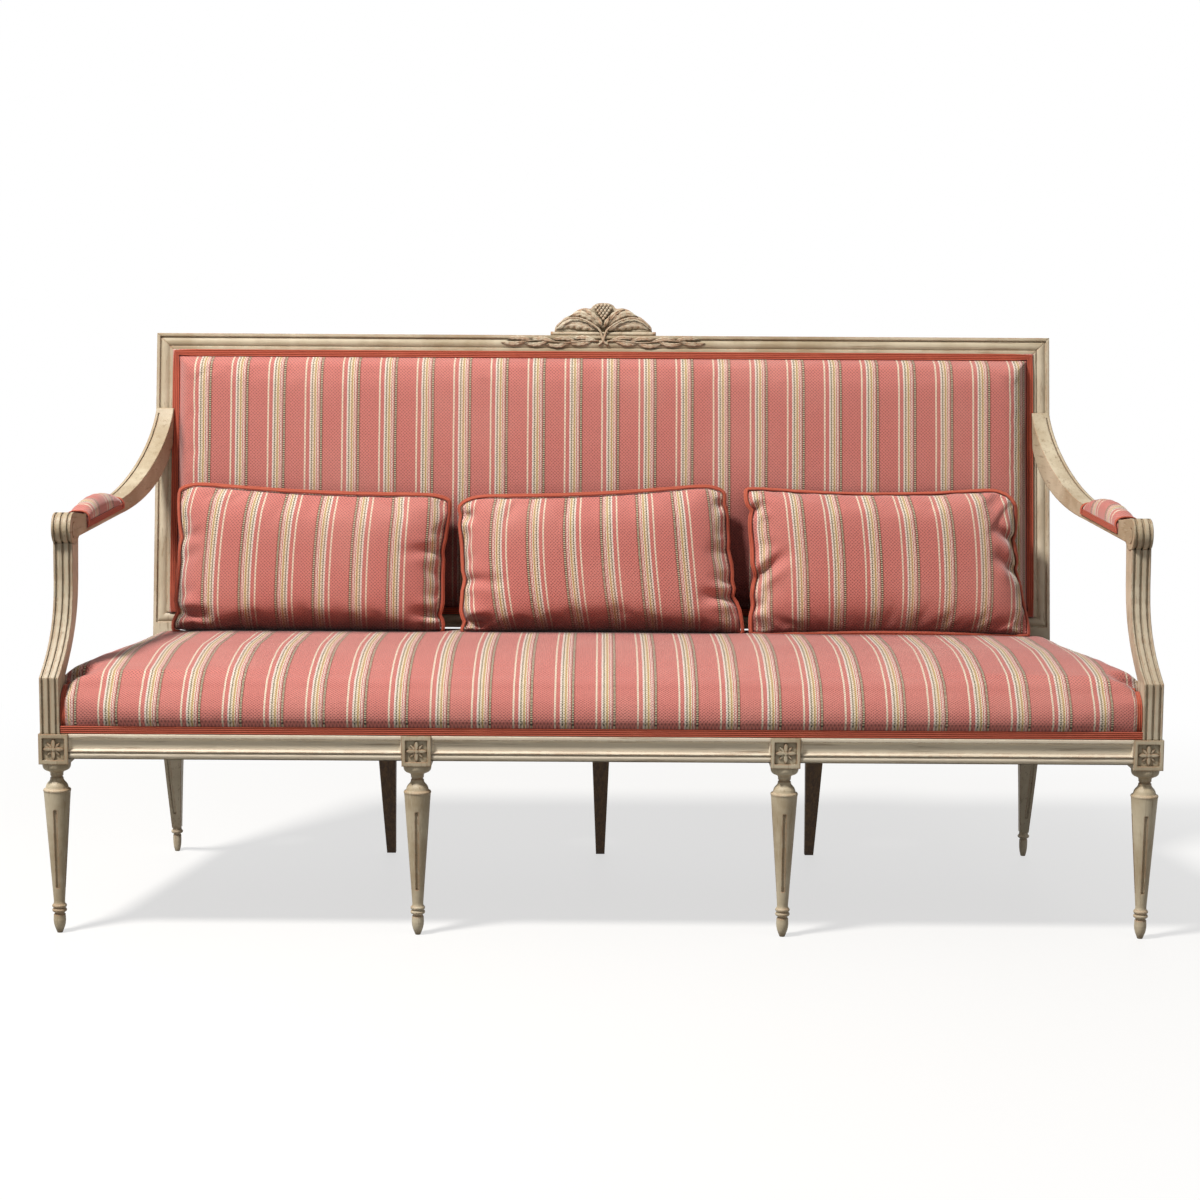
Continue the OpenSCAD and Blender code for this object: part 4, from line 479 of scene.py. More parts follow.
sprigs.stem([(x, stem_z(x)) for x in np.linspace(0.008, 0.180, 9)], 0.0016, -0.0018)
for x, turn in ((0.012, 8), (0.020, -9), (0.050, 8), (0.062, -9), (0.092, 8), (0.104, -9),
                (0.136, 7), (0.146, -6)):
    spine = [(x, stem_z(x))]
    for reach, rise, bend in ((0.5, 0.5, 1.8), (1.0, 0.55, 1.0)):
        lean = math.radians(turn) * bend
        spine.append((x + LEAF_LENGTH * reach * math.cos(lean),
                      stem_z(x) + LEAF_LENGTH * rise * math.sin(lean)))
    sprigs.leaf(spine, 0.0092, 0.0024, -0.0010, -0.0002, 5, 0.5, 0.25)
sprigs.mirrored()
sprigs.piece("carved_sprigs", "rail_sprigs")


# Webbing and hessian under the seat and behind the back: jute straps woven over and under each other and
# tacked to the frame, and a plain linen cloth over them. They carry the stuffing and show from below.

def plain_weave():
    given, out = new_group(
        "plain weave", {"Place": ("Vector", (0, 0, 0)), "Thread": ("Float", 0.0016),
                        "Dark": ("Color", (0, 0, 0, 1)), "Light": ("Color", (1, 1, 1, 1))},
        {"Color": "Color", "Height": "Float"})
    parts = add(given.tree, "ShaderNodeSeparateXYZ", {0: given["Place"]})
    waves = [(parts[k] * math.pi / given["Thread"]).sine() for k in (0, 1)]
    threads = waves[0] * waves[1] * 0.5 + 0.5
    shade = noise(given["Place"], 160.0, 4.0, 0.7) * 0.7 + threads * 0.45
    feed(out, {"Color": mix(between(shade, 0.3, 0.85), given["Dark"], given["Light"]), "Height": threads})
    return given.tree


weave_group = plain_weave()


def woven(name, thread, dark, light, roughness):
    """Coarse cloth with its threads laid out by the piece's UV map."""
    material, tree, shader = new_material(name)
    place = add(tree, "ShaderNodeTexCoord", {}, "UV")
    cloth = use_group(tree, weave_group, Place=place, Thread=thread, Dark=dark, Light=light)
    dust = use_group(tree, edges_and_hollows, Radius=0.002, Depth=0.03)["Hollow"] * 0.5
    feed(shader, {"Base Color": mix(dust, cloth["Color"], srgb(60, 46, 30)), "Roughness": roughness,
                  "Normal": bump(cloth["Height"], 0.7, 0.0006)})
    return material


jute = woven("jute_webbing", 0.0021, srgb(112, 84, 50), srgb(186, 156, 108), 0.85)
linen = woven("linen_hessian", 0.0013, srgb(128, 104, 70), srgb(196, 174, 132), 0.9)


def set_map(piece, places):
    """The piece's own UV map, in metres of cloth, from one place for each vertex."""
    layer = piece.data.uv_layers.new(name="cloth")
    vertex = np.zeros(len(piece.data.loops), int)
    piece.data.loops.foreach_get("vertex_index", vertex)
    layer.data.foreach_set("uv", np.asarray(places, float)[vertex].ravel())


STRAP_W, STRAP_THICK, STRAP_RISE, STRAP_STEP = 0.050, 0.0012, 0.00075, 0.008
STRAP_SECTION = ((-0.5, -0.5), (-0.49, 0.5), (-0.25, 0.44), (0, 0.5), (0.25, 0.44), (0.49, 0.5),
                 (0.5, -0.5), (0, -0.5))


def webbing(name, node, columns, span, rows, half_width, lay):
    """Straps at the columns, over that span, woven with straps at the rows of that half width."""
    runs = [(True, x, *span, rows, (-1) ** i) for i, x in enumerate(columns)]
    runs += [(False, y, -half_width(y), half_width(y), columns, -(-1) ** j) for j, y in enumerate(rows)]
    points, faces, places = [], [], []
    for upright, middle, start, end, crossings, over in runs:
        along = np.linspace(start, end, max(12, int((end - start) / STRAP_STEP)))
        levels = [-1] + [over * (-1) ** k for k in range(len(crossings))] + [-1]
        heights = STRAP_RISE * np.interp(along, [start, *crossings, end], levels)
        faces += loft(len(along), len(STRAP_SECTION), len(points))
        for a, height in zip(along, heights):
            for across, up in STRAP_SECTION:
                aside = middle + across * STRAP_W
                x, y = (aside, a) if upright else (a, aside)
                points.append(lay(x, y, height + up * STRAP_THICK))
                places.append((across * STRAP_W, a))
    piece = outward(new_piece(name, points, faces, jute))
    set_map(piece, places)
    fix(piece, "webbing", node)


RAIL_FRONT = -0.335
NOTCH_X, NOTCH_Y = 0.905, -0.282
POST_IN = 0.809
SEAT_REAR = 0.2245
SIDE_X, SIDE_Y = 0.947, -0.288
SIDE_SLOPE = (SIDE_X - 0.855) / (BACK_Y - SIDE_Y)


def side_x(y):
    """Half the width of the seat frame at depth y."""
    return SIDE_X - (y - SIDE_Y) * SIDE_SLOPE


# The straps end on the rails, this far in from the rails' outer faces at the front and at the sides
END_FRONT, END_SIDE = 0.009, 0.016
webbing("seat_straps", "seat_webbing", np.linspace(-0.773, 0.773, 13),
        (RAIL_FRONT + END_FRONT, SEAT_REAR - END_FRONT), np.linspace(NOTCH_Y + 0.040, BACK_Y - 0.060, 4),
        lambda y: side_x(y) - END_SIDE, lambda x, y, z: (x, y, RAIL_TOP + STRAP_RISE + STRAP_THICK / 2 + z))

# The opening of the back frame, how far webbing and linen are tacked over its edge, and how deep they lie
FRAME_LOW, FRAME_HIGH = 0.1545, 0.6300
TACKED, WEB_DEPTH, LINEN_DEPTH = 0.0055, 0.00565, 0.0023
webbing("back_straps", "back_webbing", np.linspace(-0.754, 0.754, 11),
        (FRAME_LOW - TACKED, FRAME_HIGH + TACKED), np.linspace(FRAME_LOW + 0.060, FRAME_HIGH - 0.060, 3),
        lambda up: POST_IN + TACKED, lambda x, up, height: tilted(x, up, height - WEB_DEPTH))

# How high the seat's linen lies over the rails, its thickness, and how far inside the rails it ends
LINEN_H, LINEN_THICK, LINEN_IN = 0.0030, 0.001, 0.008


def flat_cloth(name, x_span, y_span, lay, material, thick, step):
    """A stretched sheet over a four-cornered plan, closed, with its threads along the plan."""
    columns, rows = [np.linspace(low, high, max(2, int((high - low) / step)) + 1)
                     for low, high in (x_span, y_span)]
    plan = [(x, y) for y in rows for x in columns]
    points = [lay(x, y, depth) for depth in (0, thick) for x, y in plan]
    piece = outward(new_piece(name, points, two_sided(len(rows), len(columns)), material))
    set_map(piece, plan + plan)
    return piece


def seat_place(x, y, z):
    """A place on the seat's hessian: x as a share of the half width at that depth."""
    half = (NOTCH_X if y < NOTCH_Y + LINEN_IN else side_x(y)) - LINEN_IN
    if y > BACK_Y - 0.004:
        half = min(half, POST_IN - 0.010)
    return (x * half, y, RAIL_TOP + LINEN_H + z)


seat_linen = flat_cloth("seat_linen", (-1, 1), (RAIL_FRONT + LINEN_IN, SEAT_REAR - LINEN_IN), seat_place,
                        linen, LINEN_THICK, 0.02)
fix(seat_linen, "linen", "seat_hessian")
back_linen = flat_cloth("back_linen", (-POST_IN - TACKED, POST_IN + TACKED),
                        (FRAME_LOW - TACKED, FRAME_HIGH + TACKED),
                        lambda x, up, depth: tilted(x, up, -LINEN_DEPTH - depth), linen, LINEN_THICK, 0.05)
fix(back_linen, "linen", "back_hessian")


# The striped cloth: a heavy woven cotton with a raised diamond ground in rose, and bands of cream, gold
# and dark green threads that repeat every 70 mm. It is laid out in metres by each piece's UV map.

FLOAT_PITCH, PICK_PITCH, WANDER = 0.0062, 0.0037, 0.0012


def striped_cloth():
    given, out = new_group(
        "striped cloth", {"Place": ("Vector", (0, 0, 0)), "Repeat": ("Float", 0.070),
                          "Shift": ("Float", 0.0), "Way": ("Float", 1.0)},
        {"Color": "Color", "Height": "Float"})
    place = given["Place"]
    parts = add(given.tree, "ShaderNodeSeparateXYZ", {0: place})
    across = parts[0] + (noise(place, 14.0, 2.0) - 0.5) * WANDER
    band = ((across - given["Shift"]) * given["Way"] / given["Repeat"]).maths("FRACT")
    rose, cream, white = srgb(202, 118, 108), srgb(230, 212, 188), srgb(232, 216, 204)
    gold, green, groove = srgb(202, 172, 116), srgb(48, 54, 42), srgb(158, 70, 60)
    stops = ((0.0, rose), (0.010, cream), (0.051, rose), (0.150, white), (0.194, green), (0.228, cream),
             (0.268, gold), (0.312, cream), (0.336, rose), (0.363, white), (0.380, rose), (0.395, white),
             (0.407, groove), (0.437, green), (0.492, groove), (0.510, rose))
    bands = add(given.tree, "ShaderNodeValToRGB", {0: band})
    ramp = bands.socket.node.color_ramp
    ramp.interpolation = "CONSTANT"
    ramp.elements[0].color = rose
    ramp.elements[1].position, ramp.elements[1].color = stops[1]
    for position, colour in stops[2:]:
        ramp.elements.new(position).color = colour
    # Light threads cross the two dark bands in dots, and brown ones slant over the gold
    picks = (parts[1] * (2 * math.pi / PICK_PITCH)).sine()
    dark_bands = band.maths("COMPARE", 0.211, 0.017) + band.maths("COMPARE", 0.4645, 0.0275)
    colour = mix(dark_bands * between(picks, -0.35, 0.25) * 0.80, bands, srgb(226, 206, 170))
    ticks = ((parts[0] + parts[1]) * (2 * math.pi / PICK_PITCH)).sine()
    gold_band = band.maths("COMPARE", 0.290, 0.022)
    colour = mix(gold_band * between(ticks, 0.0, 0.7) * 0.55, colour, srgb(160, 116, 56))
    # The raised diamond weave: crossing rows of floats stand up, and the colour is painted lighter on them
    # and darker between them as painted highlight and painted shade
    uneven = noise(place, 230.0, 2.0) * 3.4
    rising, falling = [(slant * (2 * math.pi / FLOAT_PITCH) + uneven).sine()
                       for slant in (parts[0] + parts[1], parts[0] - parts[1])]
    diamond = rising.maths("MAXIMUM", falling) * 0.6 + 0.25
    fuzz = noise(place, 900.0, 2.0)
    relief = fuzz * 0.35 + diamond * 0.8
    shade = add(given.tree, "ShaderNodeMapRange", {0: relief, 1: 0.10, 2: 1.0, 3: 0.55, 4: 1.20})
    colour = mix(1.0, colour, shade, "MULTIPLY")
    faded = between(noise(place, 5.0, 3.0, 0.5), 0.42, 0.72) * 0.12
    feed(out, {"Color": mix(faded, colour, srgb(232, 176, 160)), "Height": fuzz * 0.3 + diamond})
    return given.tree


cloth_group = striped_cloth()


def striped(name, repeat, shift, way=1.0):
    """The striped cloth as a material: its repeat, where the first band starts, and which way it runs, with
    painted shade in its hollows.
    """
    material, tree, shader = new_material(name)
    place = add(tree, "ShaderNodeTexCoord", {}, "UV")
    cloth = use_group(tree, cloth_group, Place=place, Repeat=repeat, Shift=shift, Way=way)
    hollow_shade = use_group(tree, edges_and_hollows, Radius=0.001, Depth=0.10)["Hollow"]
    # The hollows between and behind the cushions and along the foot of the seat are painted dark red:
    # painted shade
    painted_gap_shade = between(hollow_shade, 0.25, 0.95) * 0.88
    feed(shader, {"Base Color": mix(painted_gap_shade, cloth["Color"], srgb(80, 16, 12)),
                  "Normal": bump(cloth["Height"], 0.6, 0.0008),
                  "Roughness": 0.82, "Sheen Weight": 0.45, "Sheen Roughness": 0.45})
    return material


# The seat: horsehair stuffed under one tight cover of the striped cloth, pulled down over the front and
# sides and tacked along the rails. The cover swells a little between its edges.

def apply_modifiers(piece):
    """Replace the piece's mesh with the evaluated one and clear its modifiers."""
    bpy.context.view_layer.update()
    evaluated = piece.evaluated_get(bpy.context.evaluated_depsgraph_get())
    mesh = bpy.data.meshes.new_from_object(evaluated)
    piece.modifiers.clear()
    piece.data = mesh


def modified(piece, kind, **settings):
    """Put one modifier with those settings on the piece and apply it."""
    modifier = piece.modifiers.new("change", kind)
    for name, value in settings.items():
        setattr(modifier, name, value)
    apply_modifiers(piece)


def vectors_of(piece, kind="co"):
    """The places of the piece's vertices, or their normals."""
    values = np.zeros(len(piece.data.vertices) * 3)
    piece.data.vertices.foreach_get(kind, values)
    return values.reshape(-1, 3)


def put_points(piece, points):
    piece.data.vertices.foreach_set("co", np.asarray(points, float).ravel())
    piece.data.update()


SWELL_FRAMES = 20


def swell(piece, pressure, growth, cap, held):
    """Blow the piece up with Cloth, hold the vertices that held marks, and cap how far each may move."""
    start = vectors_of(piece)
    group = piece.vertex_groups.new(name="held")
    for index in np.nonzero(held > 0)[0]:
        group.add([int(index)], float(held[index]), "REPLACE")
    cloth = piece.modifiers.new("cloth", "CLOTH")
    settings = {"quality": 5, "mass": 0.3, "tension_stiffness": 15.0, "compression_stiffness": 15.0,
                "shear_stiffness": 5.0, "bending_stiffness": 0.5, "use_pressure": True,
                "uniform_pressure_force": pressure, "shrink_min": -growth, "vertex_group_mass": "held"}
    for name, value in settings.items():
        setattr(cloth.settings, name, value)
    cloth.settings.effector_weights.gravity = 0
    cloth.collision_settings.use_collision = False
    for step in range(1, SWELL_FRAMES + 1):
        bpy.context.scene.frame_set(step)
    apply_modifiers(piece)
    bpy.context.scene.frame_set(1)
    moved = vectors_of(piece) - start
    length = np.maximum(np.linalg.norm(moved, axis=1), 1e-9)
    put_points(piece, start + moved * (cap * np.tanh(length / cap) / length)[:, None])


def smoothstep(value, low, high):
    t = np.clip((value - low) / (high - low), 0, 1)
    return t * t * (3 - 2 * t)


# The crown of the seat, the fall behind it, the middle that its front edge is rounded about, and the front
CROWN_Y, CROWN_Z = -0.040, 0.4735
REAR_Y, REAR_FALL = 0.200, 0.0115
MIDDLE_Y, ROUND_Z = -0.120, 0.372
BULGE_Y = RAIL_FRONT - 0.0045
# How far the stuffing lies inside the rails, the cover outside it, and the cover out over the blocks
STUFF_IN, COVER_OUT, NOTCH_OUT = 0.003, 0.0032, 0.012
# The furthest that a point is moved, where the arm supports stand, and where the cover turns down
MOVE_MAX, SUPPORT_X, SUPPORT_Y, TURN_Z = 0.012, 0.93, -0.30, 0.436


def seat_profile(y):
    """Height of the taut cover over the middle of the seat: a full round front edge up to the crown, then a
    slow fall to the rear."""
    share = np.clip((y - BULGE_Y) / (CROWN_Y - BULGE_Y), 0, 1)
    front = ROUND_Z + (CROWN_Z - ROUND_Z) * (1 - (1 - share) ** 2.6) ** (1 / 2.2)
    return front - REAR_FALL * (np.maximum(y - CROWN_Y, 0) / (REAR_Y - CROWN_Y)) ** 2


def around(y, z):
    """Angle up from the front, and distance, of a place in the seat's section from its middle."""
    return np.arctan2(z - ROUND_Z, MIDDLE_Y - y), np.hypot(z - ROUND_Z, y - MIDDLE_Y)


seat = outward(new_object("seat_upholstery", nodes["seat_stuffing"].data.copy()), 0.00005)
put_points(seat, vectors_of(seat) + COVER_OUT * vectors_of(seat, "normal"))
modified(seat, "REMESH", mode="VOXEL", voxel_size=0.011, use_smooth_shade=True)
rest = vectors_of(seat)
free = smoothstep(rest[:, 2], 0.366, 0.400)
near_support = np.exp(-((np.abs(rest[:, 0]) - SUPPORT_X) / 0.05) ** 2
                      - ((rest[:, 1] - SUPPORT_Y) / 0.06) ** 2)
towards_rear = smoothstep(rest[:, 1], 0.02, 0.16)
cap = 0.0003 + 0.0045 * free * (1 - 0.9 * near_support) * (1 - 0.8 * towards_rear)
swell(seat, 4.0, 0.012, cap, 1 - free)
modified(seat, "SUBSURF", levels=1, render_levels=1)
places = vectors_of(seat)
# Each section front to back is drawn in or out to the profile, and less so towards the sides
profile_y = np.concatenate([BULGE_Y + (CROWN_Y - BULGE_Y) * np.linspace(0, 1, 120) ** 2,
                            np.linspace(CROWN_Y + 0.003, REAR_Y, 30)])
wanted_angle, wanted_reach = around(profile_y, seat_profile(profile_y))
line = places[(np.abs(places[:, 0]) < 0.02) & (places[:, 2] > ROUND_Z) & (places[:, 1] < REAR_Y + 0.005)]
found_angle, found_reach = around(line[:, 1], line[:, 2])
order = np.argsort(found_angle)
angle, reach = around(places[:, 1], places[:, 2])
found = np.interp(angle, found_angle[order], found_reach[order])
move = np.clip(np.interp(angle, wanted_angle, wanted_reach) - found, -MOVE_MAX, MOVE_MAX)
from_side = side_x(places[:, 1]) - np.abs(places[:, 0])
move *= np.where(move > 0, smoothstep(from_side, 0.0, 0.16), smoothstep(from_side, 0.0, 0.03))
move *= smoothstep(places[:, 2], ROUND_Z - 0.016, ROUND_Z + 0.004) * np.clip(reach / found, 0, 1)
places[:, 1] -= np.cos(angle) * move
places[:, 2] += np.sin(angle) * move
# The cover reaches out to the arm supports over the corner blocks
beside = smoothstep(np.abs(places[:, 0]), 0.850, NOTCH_X - STUFF_IN)
beside *= smoothstep(-places[:, 1], -NOTCH_Y, -NOTCH_Y + 0.008)
places[:, 0] += np.sign(places[:, 0]) * NOTCH_OUT * beside
put_points(seat, places)
# The cloth is laid out flat from the top, down over the front and outwards over the sides
normals = vectors_of(seat, "normal")
drop = np.maximum(TURN_Z - places[:, 2], 0)
sideways = normals[:, 0] ** 2 / (normals[:, 0] ** 2 + normals[:, 1] ** 2 + 0.02)
set_map(seat, np.stack([places[:, 0] + np.sign(places[:, 0]) * drop * sideways,
                        places[:, 1] - drop * (1 - sideways)], 1))
dress(seat, striped("seat_cloth", 0.0700, -0.0105))
fix(seat, "striped_cloth", "seat_cover", "seat_stuffing")


# The stuffed back: a flat tacked border under the braid, and a raised field of the same cloth whose
# stripes stand upright and meet those of the seat. A plain sheet of it covers the rear of the frame.

PANEL_X, PANEL_LOW, PANEL_HIGH = 0.824, 0.13947, 0.64498
BRAID_W = 0.0135
BORDER_H = 0.0006
BACK_STAND, BACK_CROWN = 0.034, 0.008


def panel_height(x, up, edge):
    """Height of the stuffed field over the frame, rising steeply inside the braid."""
    crown = np.sin((x + PANEL_X) / (2 * PANEL_X) * math.pi) * np.sin(
        np.clip((up - PANEL_LOW) / (PANEL_HIGH - PANEL_LOW), 0, 1) * math.pi)
    rise = np.clip((edge - BRAID_W - 0.0008) / 0.034, 0, 1)
    return BORDER_H + (BACK_STAND + BACK_CROWN * crown - BORDER_H) * (1 - (1 - rise) ** 2.6)


def graded(low, high, edge=0.060, fine=0.0045, coarse=0.010):
    """Places from low to high, fine near both ends and coarse between."""
    ends = np.arange(0, edge, fine)
    middle = np.linspace(low + edge, high - edge, int((high - low - 2 * edge) / coarse) + 1)
    return np.concatenate([low + ends, middle, (high - ends)[::-1]])


back_cloth = striped("back_cloth", 0.0704, -0.0036)
grid_x, grid_up = np.meshgrid(graded(-PANEL_X, PANEL_X), graded(PANEL_LOW, PANEL_HIGH))
flat = np.stack([grid_x.ravel(), grid_up.ravel()], 1)
flat_x, flat_up = flat.T
edge_gap = np.minimum(PANEL_X - np.abs(flat_x), np.minimum(flat_up - PANEL_LOW, PANEL_HIGH - flat_up))
heights = panel_height(flat_x, flat_up, edge_gap)
points = [tilted(x, up, height) for (x, up), height in zip(flat, heights)]
points += [tilted(x, up, -0.001) for x, up in flat]
back = new_piece("back_upholstery", points, two_sided(*grid_x.shape), back_cloth)
loose = np.concatenate([smoothstep(edge_gap, 0.017, 0.045), np.zeros(len(flat))])
swell(back, 3.0, 0.008, 0.0003 + 0.004 * loose, 1 - loose)
set_map(back, np.concatenate([flat, flat]))
fix(back, "striped_cloth", "back_cover", "back_stuffing")

UPRIGHT_REAR, OUTER_THICK = 0.022, 0.0015
outer_cloth = flat_cloth("back_outer_sheet", (-POST_IN, POST_IN), (FRAME_LOW, FRAME_HIGH),
                         lambda x, up, depth: tilted(x, up, -UPRIGHT_REAR - depth),
                         back_cloth, OUTER_THICK, 0.02)
fix(outer_cloth, "striped_cloth", "back_outer_cloth")


# The arm pads: short stuffed pads on the arms, under the striped cloth, with its stripes across the arm.
# Each is built over the wood's own sweep, with a few creases over its top.

FRONT_Y = -0.338
PAD_Y0, PAD_Y1 = FRONT_Y + 0.146, FRONT_Y + 0.330
ARM_W, ARM_X, ARM_REAR_X = 0.033, 0.935, 0.8535
KINK_Y = FRONT_Y + 0.080
SCROLL_Y, SCROLL_Z = FRONT_Y + 0.089, 0.689
POST_JOINT_Y = BACK_Y + (SCROLL_Z + 0.130 - RAIL_TOP) * math.tan(RAKE)
BAND_LOW = 0.0068
PAD_POINTS = 31


def arm_middle(y):
    """The middle of an arm in plan: straight past the scroll, then straight in to the post."""
    return ARM_X - ARM_W / 2 + (ARM_REAR_X - ARM_X) * max(y - KINK_Y - 0.004, 0) / (POST_JOINT_Y - KINK_Y)


def band_foot(y):
    """Height of the lower edge of the cloth, a little over the underside of the arm."""
    start = SCROLL_Y + 0.021
    return SCROLL_Z - 0.015 + 0.021 * (y - start) / (PAD_Y1 - 0.015 - start) + BAND_LOW


def pad_section(t, grown=0.0):
    """The pad's depth y at share t of its length, and its section (x from the middle, z) from one lower edge
    over to the other."""
    y = PAD_Y0 + 0.0003 + t * (PAD_Y1 - PAD_Y0 - 0.0006)
    half, low = ARM_W / 2 + 0.0018 + grown, band_foot(y)
    top = SCROLL_Z + 0.008 + 0.011 * (y - PAD_Y0) / (PAD_Y1 - PAD_Y0)
    high = 0.009 + 0.024 * max(math.sin(math.pi * t), 0) ** 0.6
    arch = [(half - 0.0015, low), (half - 0.0005, low + (top - low) * 0.6),
            (half + 0.0005, top + high * 0.2), (half - 0.0010, top + high * 0.58 + grown),
            (half - 0.0065, top + high * 0.88 + grown), (half - 0.0125, top + high * 0.98 + grown),
            (0, top + high + grown)]
    return y, smooth_path(arch + [(-x, z) for x, z in reversed(arch[:-1])], PAD_POINTS)


def arm_pad(side, label, material):
    points, places = [], []
    steps = np.concatenate([[0, 0.01, 0.03], np.linspace(0.06, 0.94, 45), [0.97, 0.99, 1.0]])
    for t in steps:
        y, section = pad_section(t)
        round_the_arch = 0.0
        for k, (x, z) in enumerate(section):
            if k:
                round_the_arch += math.dist(section[k - 1], section[k])
            crease = 0.0006 * math.sin(y * 260 + 3 * x / ARM_W) * math.sin(k / (PAD_POINTS - 1) * math.pi)
            points.append((side * (arm_middle(y) + x), y, z + crease))
            places.append((y, round_the_arch))
    piece = outward(new_piece("arm_pad_cloth_" + label, points, loft(len(steps), PAD_POINTS), material))
    set_map(piece, places)
    fix(piece, "striped_cloth", "arm_cover_" + label, "arm_pad_" + label)


pad_cloth = striped("arm_pad_cloth", 0.0700, -0.165)
arm_pad(-1, "left", pad_cloth)
arm_pad(1, "right", pad_cloth)


# The braid: a coral gimp of four fine twisted cords side by side, glued over the raw edges of the cloth
# and folded over the seams of the loose cushions. Geometry Nodes run it along paths that carry the way
# out of the surface, and keep the place along and across for the twist.

CORDS = 4
BRAID_THICK = 0.0024


def braid_tree():
    """A tree that sweeps a ribbed strip, flat or arched, along the edges it is given."""
    given, out = new_group(
        "braid strip", {"Path": ("Geometry", None), "Width": ("Float", BRAID_W),
                        "Thickness": ("Float", BRAID_THICK), "Arch": ("Float", 0.0), "Cords": ("Int", CORDS),
                        "Material": ("Material", None)}, {"Braid": "Geometry"}, kind="Geometry")
    tree = given.tree

    def keep(geometry, name, value):
        inputs = {"Geometry": geometry, "Name": name, "Value": value}
        return add(tree, "GeometryNodeStoreNamedAttribute", inputs, data_type="FLOAT", domain="POINT")

    curve = add(tree, "GeometryNodeMeshToCurve", {0: given["Path"]})
    way_out = add(tree, "GeometryNodeInputNamedAttribute", {"Name": "out"}, data_type="FLOAT_VECTOR")
    curve = add(tree, "GeometryNodeSetCurveNormal", {"Curve": curve, "Normal": way_out}, mode="FREE")
    curve = keep(curve, "along", add(tree, "GeometryNodeSplineParameter", {}, "Length"))
    share = add(tree, "GeometryNodeSplineParameter", {}, "Factor")
    section = add(tree, "GeometryNodeCurvePrimitiveCircle", {"Resolution": 42, "Radius": 0.5}, mode="RADIUS")
    section = keep(section, "across", share)
    # The first half of the circle becomes the ribbed top, and the second half the flat underside
    over = share.maths("LESS_THAN", 0.5001)
    top = share * 2.0
    place = add(tree, "GeometryNodeSwitch", {0: over, 1: 2.0 - top, 2: top}, input_type="FLOAT")
    ribs = (place * given["Cords"] * math.pi).sine().maths("ABSOLUTE").maths("POWER", 0.6) * over
    up = (ribs * 0.72 + over * 0.28) * given["Thickness"] + (place * math.pi).sine() * over * given["Arch"]
    spot = add(tree, "ShaderNodeCombineXYZ", {0: up, 1: (place - 0.5) * given["Width"]})
    section = add(tree, "GeometryNodeSetPosition", {"Geometry": section, "Position": spot})
    inputs = {"Curve": curve, "Profile Curve": section, "Fill Caps": True}
    swept = add(tree, "GeometryNodeCurveToMesh", inputs)
    shaded = add(tree, "GeometryNodeSetShadeSmooth", {"Geometry": swept})
    real = add(tree, "GeometryNodeRealizeInstances", {"Geometry": shaded})
    feed(out, {0: add(tree, "GeometryNodeSetMaterial", {"Geometry": real, "Material": given["Material"]})})
    return tree


def braid_material():
    material, tree, shader = new_material("coral_braid")
    along, across = [add(tree, "ShaderNodeAttribute", {}, "Fac", attribute_name=name)
                     for name in ("along", "across")]
    place = add(tree, "ShaderNodeTexCoord", {}, "Object")
    twist = (along * (2 * math.pi / 0.0026) + across * 80.0).sine()
    fibres = noise(place, 500.0, 3.0, 0.7)
    ribs = (across * (2 * CORDS * math.pi)).sine().maths("ABSOLUTE")
    # The colour is painted lighter on the crowns of the cords and darker between them and in the hollows:
    # painted highlight and painted shade
    shade = twist * 0.16 + ribs * 0.5 + fibres * 0.5
    colour = mix(between(shade, 0.15, 0.95), srgb(140, 52, 34), srgb(204, 96, 64))
    colour = mix(between(noise(place, 18.0), 0.5, 0.75) * 0.3, colour, srgb(212, 112, 80))
    hollow_shade = use_group(tree, edges_and_hollows, Radius=0.001, Depth=0.004)["Hollow"]
    colour = mix(hollow_shade * 0.55, colour, srgb(96, 20, 20))
    feed(shader, {"Base Color": colour, "Roughness": 0.75, "Sheen Weight": 0.15,
                  "Normal": bump(twist * 0.5 + fibres, 0.6, 0.0006)})
    return material


strip_tree = braid_tree()
coral = braid_material()


def braid(name, paths, *replaced, body="sofa", closed=False, width=BRAID_W, thickness=BRAID_THICK, arch=0.0):
    """Sweep a braid along paths of (place, way out) and leave it a plain mesh that its body carries."""
    points, edges, ways = [], [], []
    for path in paths:
        first, last = len(points), len(points) + len(path) - 1
        points += [tuple(place) for place, way in path]
        ways += [tuple(way) for place, way in path]
        edges += [(k, k + 1) for k in range(first, last)]
        if closed:
            edges.append((last, first))
    mesh = bpy.data.meshes.new(name)
    mesh.from_pydata(points, edges, [])
    kept_ways = mesh.attributes.new("out", "FLOAT_VECTOR", "POINT")
    kept_ways.data.foreach_set("vector", np.array(ways, float).ravel())
    piece = new_object(name, mesh)
    modifier = piece.modifiers.new("sweep", "NODES")
    modifier.node_group = strip_tree
    ids = {item.name: item.identifier for item in strip_tree.interface.items_tree if item.in_out == "INPUT"}
    inputs = {"Width": width, "Thickness": thickness, "Arch": arch, "Cords": CORDS, "Material": coral}
    for label, value in inputs.items():
        modifier[ids[label]] = value
    apply_modifiers(piece)
    dress(piece, coral)
    fix(outward(piece), "braid", *replaced, body=body)


def run(start, end, way, step=0.02):
    """A straight path with one way out."""
    start, end = Vector(start), Vector(end)
    count = max(2, int((end - start).length / step) + 1)
    return [(start.lerp(end, k / (count - 1)), Vector(way)) for k in range(count)]


